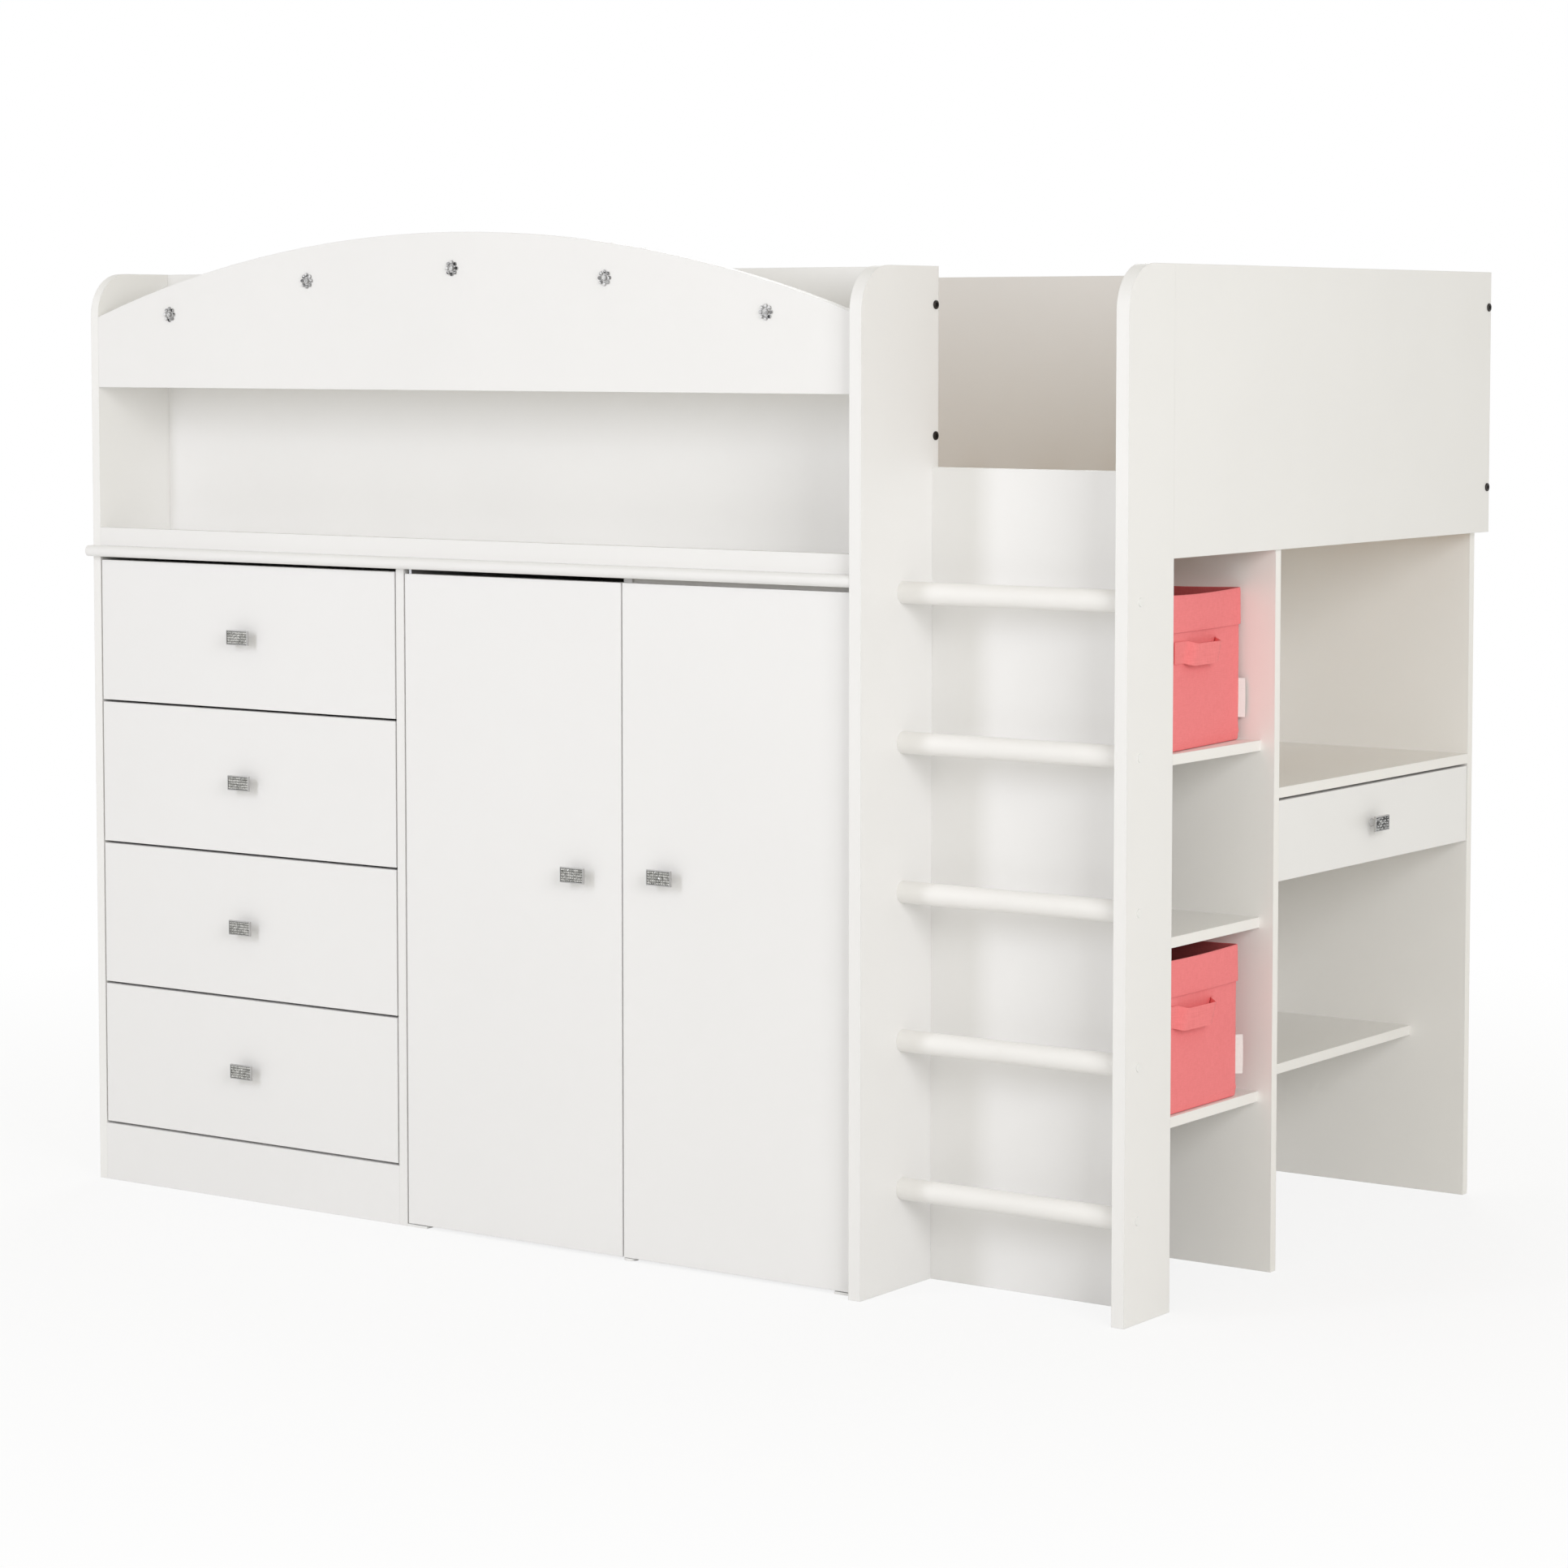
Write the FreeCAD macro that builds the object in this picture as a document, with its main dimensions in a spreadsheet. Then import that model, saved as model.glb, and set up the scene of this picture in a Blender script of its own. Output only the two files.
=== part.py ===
# Loft bed: a raised bunk over a drawer chest, a wardrobe, a ladder, a shelf bay and a desk.
# Millimetres. X runs along the bed from the chest to the ladder end, the doors face -Y and Z is up.
# The origin is on the floor, under the middle of the bed.
import FreeCAD
import Part
import os
import re

SIZES = {
    # the whole bed, with depths counted from the plane of the doors
    "bed_length": 1966,
    "bed_depth": 1207,
    "side_height": 1518,
    "panel": 16,
    "post_thick": 21,
    "corner_round": 68,
    # where the upright pieces stand along the bed
    "divider_left": 660,
    "ladder_run": 425,
    "front_reach": 21,
    "guard_front": 167,
    "post_setback": 54,
    "bunk_lift": 29,
    # chest and wardrobe carcass
    "base_depth": 514,
    "base_height": 1049,
    "top_board": 18,
    "lip_reach": 20,
    "lip_round": 8.5,
    "rail_height": 30,
    "back_board": 4,
    "chest_plinth": 95,
    "plinth_lift": 4,
    "plinth_top": 75,
    "glide_radius": 11,
    # fronts and the gaps around them
    "front_gap": 3,
    "drawer_gap": 4,
    "drawer_top_gap": 6,
    "door_top_gap": 8,
    "door_low_gap": 1.3,
    "door_rest": 0.5,
    "door_room": 4,
    # pivots of the doors
    "pivot_inset": 6.5,
    "pin_radius": 3,
    "pin_hold": 15,
    "pin_reach": 9,
    "pin_play": 0.05,
    "bush_radius": 4.5,
    "bush_length": 10,
    "shoe_length": 40,
    "shoe_thick": 3.7,
    "shoe_reach": 2.7,
    "collar_radius": 5.5,
    "collar_play": 0.3,
    # drawer boxes and the strips that carry them
    "box_side": 12,
    "box_play": 5,
    "box_depth": 440,
    "box_lift": 25,
    "box_headroom": 58,
    "bottom_thick": 4,
    "bottom_lift": 8,
    "strip_bite": 6,
    "strip_height": 16,
    "strip_play": 0.3,
    "strip_start": 24,
    "strip_length": 430,
    # knobs
    "knob_width": 46,
    "knob_height": 24,
    "knob_plate": 4,
    "knob_depth": 20,
    "knob_stem": 7,
    "door_knob_inset": 83,
    "left_knob_height": 590,
    "right_knob_height": 598,
    # wardrobe fittings
    "hanger_drop": 84,
    "hanger_radius": 12.5,
    "socket_radius": 17,
    "socket_length": 12,
    "socket_floor": 3,
    "shelf_low": 400,
    "shelf_high": 720,
    "stretcher_height": 60,
    # studs of the arched guard
    "stud_margin": 163,
    "stud_heart": 4.8,
    "stud_petal": 4.2,
    "stud_ring": 8.6,
    "stud_depth": 6,
    "petal_depth": 5,
    # ladder
    "entry_rise": 124,
    "rung_radius": 16.5,
    "rung_depth": 90,
    "rung_first": 150,
    "rung_pitch": 222,
    # bolts, screws and caps
    "bolt_radius": 3,
    "bolt_bite": 34,
    "head_radius": 6.5,
    "head_proud": 1.5,
    "bolt_drop": 57,
    "end_bolt_lift": 73,
    # shelf bay and desk
    "bay_setback": 6,
    "bay_shelf_setback": 30,
    "desk_setback": 25,
    "desk_height": 732,
    "desk_drawer_front": 123,
    "desk_box_depth": 330,
    "desk_box_height": 80,
    "desk_box_lift": 16,
    "desk_strip_start": 14,
    "desk_strip_length": 300,
    "desk_shelf_height": 273,
    "desk_shelf_setback": 125,
    # slats of the bunk
    "ledger_height": 30,
    "ledger_thick": 22,
    "slat_thick": 18,
    "slat_width": 70,
    "slat_margin": 30,
    # fabric bins
    "bin_setback": 36,
    "bin_depth": 290,
    "bin_width": 250,
    "bin_headroom": 60,
    "bin_side_play": 10,
    "bin_lift": 0.3,
    "bin_wall": 3,
    "bin_rim": 54,
    "bin_rim_thick": 2,
    "bin_handle_width": 146,
    "bin_handle_shift": 30,
    "bin_handle_height": 32,
    "bin_handle_thick": 4,
    "bin_handle_drop": 13,
    "upper_bin_back": 25,
    "upper_bin_aside": 45,
    # one overrun for every cut
    "overrun": 5,
}

# Heights that follow the wall or the bay that they belong to, as shares of it, and slopes.
HEIGHT_shares = {
    "guard_low_share": 0.5534,
    "guard_end_share": 0.829,
    "guard_peak_share": 1.1378,
    "stud_drop_share": 0.4845,
    "stud_arc_share": 0.88,
    "bin_turn_share": 0.0875,
    "upright_bolt_share": 0.4435,
    "bay_low_share": 0.2509,
    "bay_middle_share": 0.4927,
    "bay_high_share": 0.7372,
}

# Lines that several pieces share, worked out from the sizes.
LINES = {
    "middle_x": "(bed_length + head_proud) / 2",
    "middle_y": "(bed_depth - front_reach) / 2",
    "inner_right": "bed_length - post_thick",
    "divider_right": "divider_left + panel",
    "upright_left": "bed_length - ladder_run",
    "upright_right": "upright_left + post_thick",
    "side_left": "upright_left - panel",
    "guard_back": "guard_front + panel",
    "rear_front": "bed_depth - panel",
    "bay_divider_front": "base_depth - panel",
    "carcass_depth": "base_depth - back_board",
    "base_top_face": "base_height + top_board",
    "rail_top": "base_top_face + rail_height",
    "end_low": "base_top_face + bunk_lift",
    "entry_height": "end_low + entry_rise",
    "bolt_high": "side_height - bolt_drop",
    "upright_bolt_low": "base_top_face + upright_bolt_share * (side_height - base_top_face)",
    "end_bolt_low": "end_low + end_bolt_lift",
    "hanger_height": "base_height - hanger_drop",
    "door_width": "(upright_left - divider_right - 3 * front_gap) / 2",
    "door_low": "shoe_thick + door_low_gap",
    "door_height": "base_height - door_top_gap - door_low",
    "right_door_left": "upright_left - front_gap - door_width",
    "door_middle": "(divider_right + upright_left) / 2",
    "partition_left": "door_middle - panel / 2",
    "partition_right": "door_middle + panel / 2",
    "left_pivot": "divider_right + front_gap + pivot_inset",
    "right_pivot": "upright_left - front_gap - pivot_inset",
    "door_behind": "panel + door_room",
    "drawer_low": "chest_plinth + drawer_gap",
    "drawer_front": "(base_height - drawer_top_gap - drawer_low - 3 * drawer_gap) / 4",
    "drawer_pitch": "drawer_front + drawer_gap",
    "box_height": "drawer_front - box_lift - box_headroom",
    "drawer_width": "divider_left - panel - 2 * front_gap",
    "strip_thick": "box_play + strip_bite",
    "desk_front": "bed_length - desk_setback",
    "desk_width": "rear_front - base_depth",
    "desk_drawer_low": "desk_height - panel - drawer_gap - desk_drawer_front",
    "guard_room": "side_height - rail_top",
    "guard_low": "rail_top + guard_low_share * guard_room",
    "guard_end": "rail_top + guard_end_share * guard_room",
    "guard_peak": "rail_top + guard_peak_share * guard_room",
    "half_arch": "(upright_left - panel) / 2",
    "arch_rise": "guard_peak - guard_end",
    "arch_radius": "(half_arch ^ 2 + arch_rise ^ 2) / (2 * arch_rise)",
    "arch_middle": "panel + half_arch",
    "stud_pitch": "(upright_left - panel - 2 * stud_margin) / 4",
    "stud_drop": "stud_drop_share * (guard_end - guard_low)",
    "bay_shelf_low": "bay_low_share * end_low",
    "bay_shelf_middle": "bay_middle_share * end_low",
    "bay_shelf_high": "bay_high_share * end_low",
    "slat_low": "end_low + ledger_height",
    "bin_front": "bed_length - bin_setback",
    "bin_left": "guard_back + bin_side_play",
    "bin_height": "end_low - bay_shelf_high - bin_headroom",
}

DRAWERS = 4
RUNGS = 5
STUDS = 5
PETALS = 8
SLATS = 13

doc = FreeCAD.newDocument("LoftBed")
sheet = doc.addObject("Spreadsheet::Sheet", "Sizes")
for row, (alias, value) in enumerate({**SIZES, **HEIGHT_shares}.items(), start=1):
    sheet.set(f"A{row}", alias)
    sheet.set(f"B{row}", str(value))
    sheet.setAlias(f"B{row}", alias)
doc.recompute()

nodes = []

ALONG_X = FreeCAD.Rotation(FreeCAD.Vector(0, 1, 0), 90)
ALONG_FRONT = FreeCAD.Rotation(FreeCAD.Vector(1, 0, 0), 90)
UPRIGHT = FreeCAD.Rotation()


# Spells a formula in the words of the sheet.
def formula(text):
    def spell(match):
        word = match.group(0)
        if word in LINES:
            return "(" + formula(LINES[word]) + ")"
        if word in SIZES or word in HEIGHT_shares:
            return "Sizes." + word
        return word

    return re.sub(r"[a-z][a-z_]*", spell, text)


def bind(item, **formulas):
    for name, text in formulas.items():
        item.setExpression(name, formula(text))


# Puts an item at a spot counted from the left end, the plane of the doors and the floor.
def place(item, spot, turn=UPRIGHT):
    item.Placement = FreeCAD.Placement(FreeCAD.Vector(), turn)
    x, y, z = spot
    item.setExpression("Placement.Base.x", formula(f"{x} - middle_x"))
    item.setExpression("Placement.Base.y", formula(f"{y} - middle_y"))
    item.setExpression("Placement.Base.z", formula(z))


def board(name, spot, extent):
    item = doc.addObject("Part::Box", name)
    bind(item, Length=extent[0], Width=extent[1], Height=extent[2])
    place(item, spot)
    return item


def rod(name, spot, radius, length, turn=UPRIGHT):
    item = doc.addObject("Part::Cylinder", name)
    bind(item, Radius=radius, Height=length)
    place(item, spot, turn)
    return item


def group(name, items):
    item = doc.addObject("Part::Compound", name)
    item.Links = items
    return item


def fuse(name, items):
    item = doc.addObject("Part::MultiFuse", name)
    item.Shapes = items
    return item


def cut(name, base, tools):
    item = doc.addObject("Part::Cut", name)
    item.Base = base
    item.Tool = tools[0] if len(tools) == 1 else group(name + "_tools", tools)
    return item


# Keeps an item as one sub-part of the bed, under the name of its file.
def keep(item, label):
    item.Label = label
    nodes.append(item)


# Name of the edge whose middle lies at these shares of the shape's box.
def edge_at(shape, shares):
    low = shape.BoundBox
    goal = FreeCAD.Vector(
        low.XMin + shares[0] * low.XLength,
        low.YMin + shares[1] * low.YLength,
        low.ZMin + shares[2] * low.ZLength,
    )
    distances = [edge.CenterOfMass.distanceToPoint(goal) for edge in shape.Edges]
    return f"Edge{distances.index(min(distances)) + 1}"


TOP_FRONT_shares = (0.5, 0, 1)
LOW_FRONT_shares = (0.5, 0, 0)


# A board with rounded edges, made as a body.
def rounded_board(name, spot, extent, edge_shares, radius, notch=None):
    body = doc.addObject("PartDesign::Body", name)
    solid = body.newObject("PartDesign::AdditiveBox", name + "_blank")
    bind(solid, Length=extent[0], Width=extent[1], Height=extent[2])
    doc.recompute()
    if notch:
        solid = body.newObject("PartDesign::SubtractiveBox", name + "_notch")
        bind(solid, Length=notch[1][0], Width=notch[1][1], Height=notch[1][2])
        bind(solid, **{f"Placement.Base.{axis}": text for axis, text in zip("xyz", notch[0])})
        doc.recompute()
    rounding = body.newObject("PartDesign::Fillet", name + "_rounding")
    rounding.Base = (solid, [edge_at(solid.Shape, shares) for shares in edge_shares])
    bind(rounding, Radius=radius)
    body.Tip = rounding
    place(body, spot)
    return body


def rung_height(index):
    return f"rung_first + {index} * rung_pitch"


RUNG_HEIGHTS = [rung_height(index) for index in range(RUNGS)]
PANEL_MIDDLE = "guard_front + panel / 2"
REAR_MIDDLE = "rear_front + panel / 2"
UPRIGHT_BOLTS = ["upright_bolt_low", "bolt_high"]
END_BOLTS = ["end_bolt_low", "bolt_high"]


# End panels, ladder sides and guards of the bunk.
def bunk_sides():
    left = rounded_board(
        "left_end", ("0", "0", "0"), ("panel", "bed_depth", "side_height"), [TOP_FRONT_shares], "corner_round")
    keep(left, "left_end_panel")

    blank = rounded_board(
        "upright_blank", ("upright_left", "-front_reach", "0"),
        ("post_thick", "guard_back + front_reach", "side_height"), [TOP_FRONT_shares], "corner_round")
    bores = [rod("rung_bore", ("upright_left", "rung_depth", z), "bolt_radius", "post_thick", ALONG_X)
             for z in RUNG_HEIGHTS]
    bores += [rod("panel_bore", ("upright_left", PANEL_MIDDLE, z), "bolt_radius", "post_thick", ALONG_X)
              for z in UPRIGHT_BOLTS]
    keep(cut("upright", blank, bores), "ladder_upright")

    blank = rounded_board(
        "post_blank", ("inner_right", "post_setback", "0"),
        ("post_thick", "guard_back - post_setback", "side_height"), [TOP_FRONT_shares], "corner_round")
    bores = [rod("post_bore", ("inner_right", "rung_depth", z), "bolt_radius", "post_thick", ALONG_X)
             for z in RUNG_HEIGHTS]
    keep(cut("post", blank, bores), "ladder_post")

    blank = board("end_blank", ("inner_right", "guard_back", "end_low"),
                  ("post_thick", "bed_depth - guard_back", "side_height - end_low"))
    bores = [rod("end_bore", ("inner_right", REAR_MIDDLE, z), "bolt_radius", "post_thick", ALONG_X)
             for z in END_BOLTS]
    keep(cut("end", blank, bores), "end_board")

    blank = board("niche_blank", ("panel", "guard_front", "base_top_face"),
                  ("upright_left - panel", "panel", "side_height - base_top_face"))
    bores = [rod("niche_bore", ("upright_left - bolt_bite", PANEL_MIDDLE, z), "bolt_radius", "bolt_bite", ALONG_X)
             for z in UPRIGHT_BOLTS]
    keep(cut("niche", blank, bores), "niche_back_panel")

    blank = board("rear_blank", ("panel", "rear_front", "end_low"),
                  ("inner_right - panel", "panel", "side_height - end_low"))
    bores = [rod("rear_bore", ("inner_right - bolt_bite", REAR_MIDDLE, z), "bolt_radius", "bolt_bite", ALONG_X)
             for z in END_BOLTS]
    keep(cut("rear", blank, bores), "rear_guard")

    keep(board("ladder_panel", ("upright_right", "guard_front", "0"),
               ("inner_right - upright_right", "panel", "entry_height")), "ladder_back_panel")


# Guard over the niche: a plank whose top follows one arc, with studs a little below that arc.
def arched_guard():
    plank = board("guard_plank", ("panel", "0", "guard_low"),
                  ("upright_left - panel", "panel", "guard_peak - guard_low"))
    arc = rod("guard_arc", ("arch_middle", "panel + overrun", "guard_peak - arch_radius"),
              "arch_radius", "panel + 2 * overrun", ALONG_FRONT)
    guard = doc.addObject("Part::Common", "guard")
    guard.Base = plank
    guard.Tool = arc
    keep(guard, "arched_guard")

    studs = []
    for index in range(STUDS):
        offset = f"{index - STUDS // 2} * stud_pitch"
        x = f"arch_middle + {offset}"
        fall = f"stud_arc_share * (arch_radius - sqrt(arch_radius ^ 2 - ({offset}) ^ 2))"
        z = f"guard_peak - stud_drop - {fall}"
        pieces = [rod("stud_heart", (x, "0", z), "stud_heart", "stud_depth", ALONG_FRONT)]
        for petal in range(PETALS):
            angle = f"{petal} * 360 deg / {PETALS}"
            spot = (f"{x} + stud_ring * cos({angle})", "0", f"{z} + stud_ring * sin({angle})")
            pieces.append(rod("stud_petal", spot, "stud_petal", "petal_depth", ALONG_FRONT))
        studs.append(fuse("stud", pieces))
    keep(group("studs", studs), "flower_studs")


# Rungs with a bore in each end, the screws and bolts, and the caps on the post.
def ladder_rungs():
    length = "inner_right - upright_right"
    for number, z in enumerate(RUNG_HEIGHTS, start=1):
        blank = rod("rung_blank", ("upright_right", "rung_depth", z), "rung_radius", length, ALONG_X)
        starts = ["upright_right", "inner_right - bolt_bite"]
        bores = [rod("rung_end_bore", (x, "rung_depth", z), "bolt_radius", "bolt_bite", ALONG_X) for x in starts]
        keep(cut("rung", blank, bores), f"ladder_rung_{number}")

    shank = "post_thick + bolt_bite"
    screws = []
    for z in RUNG_HEIGHTS:
        for x in ("upright_left", "inner_right - bolt_bite"):
            screws.append(rod("rung_screw", (x, "rung_depth", z), "bolt_radius", shank, ALONG_X))
    bolts = [("upright_right", PANEL_MIDDLE, z) for z in UPRIGHT_BOLTS]
    bolts += [("bed_length", REAR_MIDDLE, z) for z in END_BOLTS]
    for x, y, z in bolts:
        head = rod("bolt_head", (x, y, z), "head_radius", "head_proud", ALONG_X)
        stem = rod("bolt_stem", (f"{x} - post_thick - bolt_bite", y, z), "bolt_radius", shank, ALONG_X)
        screws.append(fuse("bolt", [head, stem]))
    keep(group("bolts", screws), "frame_bolts")

    caps = [rod("cap", ("bed_length", "rung_depth", z), "head_radius", "head_proud", ALONG_X) for z in RUNG_HEIGHTS]
    keep(group("caps", caps), "screw_caps")


# Carcass of the chest and the wardrobe.
def base_carcass():
    keep(board("chest_divider", ("divider_left", "0", "0"), ("panel", "carcass_depth", "base_height")),
         "chest_divider")
    keep(board("partition", ("partition_left", "panel + door_rest", "plinth_lift"),
               ("panel", "carcass_depth - panel - door_rest", "base_height - plinth_lift")), "wardrobe_partition")
    keep(board("wardrobe_right", ("side_left", "door_behind", "0"),
               ("panel", "base_depth - door_behind", "base_height")), "wardrobe_side")

    top = rounded_board(
        "top_blank", ("0", "-lip_reach", "base_height"), ("upright_left", "lip_reach + base_depth", "top_board"),
        [TOP_FRONT_shares, LOW_FRONT_shares], "lip_round",
        notch=(("0", "lip_reach", "0"), ("panel", "base_depth", "top_board")))
    bores = [rod("top_bore", (x, "pivot_inset", "base_height"), "bush_radius", "bush_length")
             for x in ("left_pivot", "right_pivot")]
    keep(cut("top", top, bores), "base_top")
    keep(board("front_rail", ("panel", "0", "base_top_face"), ("upright_left - panel", "panel", "rail_height")),
         "niche_front_rail")

    plinths = [board("chest_kick", ("panel", "0", "0"), ("divider_left - panel", "panel", "chest_plinth"))]
    for x, end in (("divider_right", "partition_left"), ("partition_right", "side_left")):
        plinths.append(board("kick", (x, "door_behind", "plinth_lift"),
                             (f"{end} - {x}", "panel", "plinth_top - plinth_lift")))
    keep(group("kicks", plinths), "plinths")

    glides = [rod("glide", ("partition_right", y, "0"), "glide_radius", "plinth_lift")
              for y in ("glide_radius", "carcass_depth - glide_radius")]
    keep(group("glides", glides), "floor_glides")

    depth = "carcass_depth - door_behind"
    shelves = []
    for x, end, z in (("divider_right", "partition_left", "plinth_top"), ("partition_right", "side_left", "plinth_top"),
                      ("partition_right", "side_left", "shelf_low"), ("partition_right", "side_left", "shelf_high")):
        shelves.append(board("wardrobe_board", (x, "door_behind", z), (f"{end} - {x}", depth, "panel")))
    shelves.append(board("stretcher", ("partition_right", "door_behind", "base_height - stretcher_height"),
                         ("side_left - partition_right", "panel", "stretcher_height")))
    keep(group("wardrobe_boards", shelves), "wardrobe_shelves")

    backs = []
    for x, end in (("panel", "divider_left + panel / 2"), ("divider_left + panel / 2", "side_left")):
        backs.append(board("back", (x, "carcass_depth", "plinth_top"),
                           (f"{end} - ({x})", "back_board", "base_height - plinth_top")))
    keep(group("backs", backs), "back_boards")


# Hanging rail of the left compartment, held in a cup at each end.
def hanging_rail():
    spot = ("divider_right + socket_floor", "base_depth / 2", "hanger_height")
    keep(rod("hanger", spot, "hanger_radius", "partition_left - divider_right - 2 * socket_floor", ALONG_X),
         "hanging_rail")
    cups = []
    for x, mouth in (("divider_right", "divider_right + socket_floor"), ("partition_left - socket_length",) * 2):
        cup = rod("cup", (x, "base_depth / 2", "hanger_height"), "socket_radius", "socket_length", ALONG_X)
        hollow = rod("cup_hollow", (mouth, "base_depth / 2", "hanger_height"), "hanger_radius",
                     "socket_length - socket_floor", ALONG_X)
        cups.append(cut("socket", cup, [hollow]))
    keep(group("sockets", cups), "rail_sockets")


# Plate on a stem, facing the front or the ladder end. The spot is on the face that it is screwed to.
def knob(label, spot, facing_end=False):
    x, y, z = spot
    stem_length = "knob_depth - knob_plate"
    low = f"{z} - knob_height / 2"
    if facing_end:
        plate = board("knob_face", (f"{x} + {stem_length}", f"{y} - knob_width / 2", low),
                      ("knob_plate", "knob_width", "knob_height"))
        stem = rod("knob_neck", spot, "knob_stem", stem_length, ALONG_X)
    else:
        plate = board("knob_face", (f"{x} - knob_width / 2", f"{y} - knob_depth", low),
                      ("knob_width", "knob_plate", "knob_height"))
        stem = rod("knob_neck", spot, "knob_stem", stem_length, ALONG_FRONT)
    keep(fuse("knob", [plate, stem]), label)


# Four drawers: a front, and a box of two grooved sides, a back and a bottom.
def chest_drawers():
    outer = "panel + box_play"
    far = "divider_left - box_play"
    for number in range(1, DRAWERS + 1):
        low = f"drawer_low + {DRAWERS - number} * drawer_pitch"
        name = f"drawer_{number}"
        keep(board("front", ("panel + front_gap", "0", low), ("drawer_width", "panel", "drawer_front")),
             name + "_front")
        box_low = f"{low} + box_lift"
        groove_low = f"{box_low} + box_height / 2 - strip_height / 2 - strip_play"
        groove = ("strip_bite + strip_play", "box_depth + 2 * overrun", "strip_height + 2 * strip_play")
        walls = []
        for x, groove_x in ((outer, outer), (f"{far} - box_side", f"{far} - strip_bite - strip_play")):
            side = board("side_blank", (x, "panel", box_low), ("box_side", "box_depth", "box_height"))
            slot = board("side_groove", (groove_x, "panel - overrun", groove_low), groove)
            walls.append(cut("side", side, [slot]))
        inner = f"{outer} + box_side"
        width = f"{far} - box_side - ({inner})"
        walls.append(board("box_back", (inner, "panel + box_depth - box_side", box_low),
                           (width, "box_side", "box_height")))
        walls.append(board("box_bottom", (inner, "panel", f"{box_low} + bottom_lift"),
                           (width, "box_depth - box_side", "bottom_thick")))
        keep(group("box", walls), name + "_box")
        knob(name + "_knob", ("(panel + divider_left) / 2", "0", f"{low} + drawer_front / 2"))


# Desk drawer, built the same way but opening toward the ladder end.
def desk_drawer():
    near = "base_depth + box_play"
    far = "rear_front - box_play"
    keep(board("desk_face", ("desk_front - panel", "base_depth + front_gap", "desk_drawer_low"),
               ("panel", "desk_width - 2 * front_gap", "desk_drawer_front")), "desk_drawer_front")
    box_low = "desk_drawer_low + desk_box_lift"
    start = "desk_front - panel - desk_box_depth"
    groove_low = f"{box_low} + desk_box_height / 2 - strip_height / 2 - strip_play"
    groove = ("desk_box_depth + 2 * overrun", "strip_bite + strip_play", "strip_height + 2 * strip_play")
    walls = []
    for y, groove_y in ((near, near), (f"{far} - box_side", f"{far} - strip_bite - strip_play")):
        side = board("desk_side_blank", (start, y, box_low), ("desk_box_depth", "box_side", "desk_box_height"))
        slot = board("desk_side_groove", (f"{start} - overrun", groove_y, groove_low), groove)
        walls.append(cut("desk_side", side, [slot]))
    inner = f"{near} + box_side"
    width = f"{far} - box_side - ({inner})"
    walls.append(board("desk_box_back", (start, inner, box_low), ("box_side", width, "desk_box_height")))
    walls.append(board("desk_box_bottom", (f"{start} + box_side", inner, f"{box_low} + bottom_lift"),
                       ("desk_box_depth - box_side", width, "bottom_thick")))
    keep(group("desk_box", walls), "desk_drawer_box")
    knob("desk_drawer_knob", ("desk_front", "base_depth + desk_width / 2", "desk_drawer_low + desk_drawer_front / 2"),
         facing_end=True)


# Strips on the cabinet walls that the grooves of the drawers ride on.
def runner_strips():
    strips = []
    for number in range(1, DRAWERS + 1):
        low = f"drawer_low + {DRAWERS - number} * drawer_pitch + box_lift + box_height / 2 - strip_height / 2"
        for x in ("panel", "divider_left - strip_thick"):
            strips.append(board("strip", (x, "strip_start", low), ("strip_thick", "strip_length", "strip_height")))
    low = "desk_drawer_low + desk_box_lift + desk_box_height / 2 - strip_height / 2"
    for y in ("base_depth", "rear_front - strip_thick"):
        spot = ("desk_front - panel - desk_strip_start - desk_strip_length", y, low)
        strips.append(board("desk_strip", spot, ("desk_strip_length", "strip_thick", "strip_height")))
    keep(group("strips", strips), "runner_strips")


# Doors down to the floor that turn on a pin in each end. The lower pin has a collar that stands on a flat shoe.
def doors():
    bushes = []
    for name, x, pivot, shoe_left in (
            ("left_door", "divider_right + front_gap", "left_pivot", "divider_right"),
            ("right_door", "right_door_left", "right_pivot", "upright_left - shoe_length")):
        top = "door_low + door_height"
        blank = board("leaf_blank", (x, "0", "door_low"), ("door_width", "panel", "door_height"))
        bores = [rod("leaf_bore", (pivot, "pivot_inset", z), "pin_radius", "pin_hold")
                 for z in ("door_low", f"{top} - pin_hold")]
        keep(cut("leaf", blank, bores), name)
        side = 1 if name == "left_door" else -1
        knob(name + "_knob", (f"door_middle - {side} * door_knob_inset", "0", name.replace("door", "knob_height")))

        low_pin = rod("low_pin", (pivot, "pivot_inset", "shoe_thick - shoe_reach"), "pin_radius",
                      "shoe_reach + door_low_gap + pin_hold")
        collar = rod("collar", (pivot, "pivot_inset", "shoe_thick + collar_play"), "collar_radius",
                     "door_low_gap - collar_play")
        high_pin = rod("high_pin", (pivot, "pivot_inset", f"{top} - pin_hold"), "pin_radius",
                       "pin_hold + door_top_gap + pin_reach")
        keep(group("pins", [fuse("collared_pin", [low_pin, collar]), high_pin]), name + "_pins")

        shoe = board("shoe_plate", (shoe_left, "0", "0"), ("shoe_length", "door_behind", "shoe_thick"))
        sleeve = rod("sleeve", (pivot, "pivot_inset", "base_height"), "bush_radius", "bush_length")
        for holder, z, depth in ((shoe, "0", "shoe_thick"), (sleeve, "base_height", "bush_length")):
            hollow = rod("pin_hole", (pivot, "pivot_inset", z), "pin_radius + pin_play", depth)
            bushes.append(cut("bush", holder, [hollow]))
    keep(group("bushes", bushes), "pivot_bushes")


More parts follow.
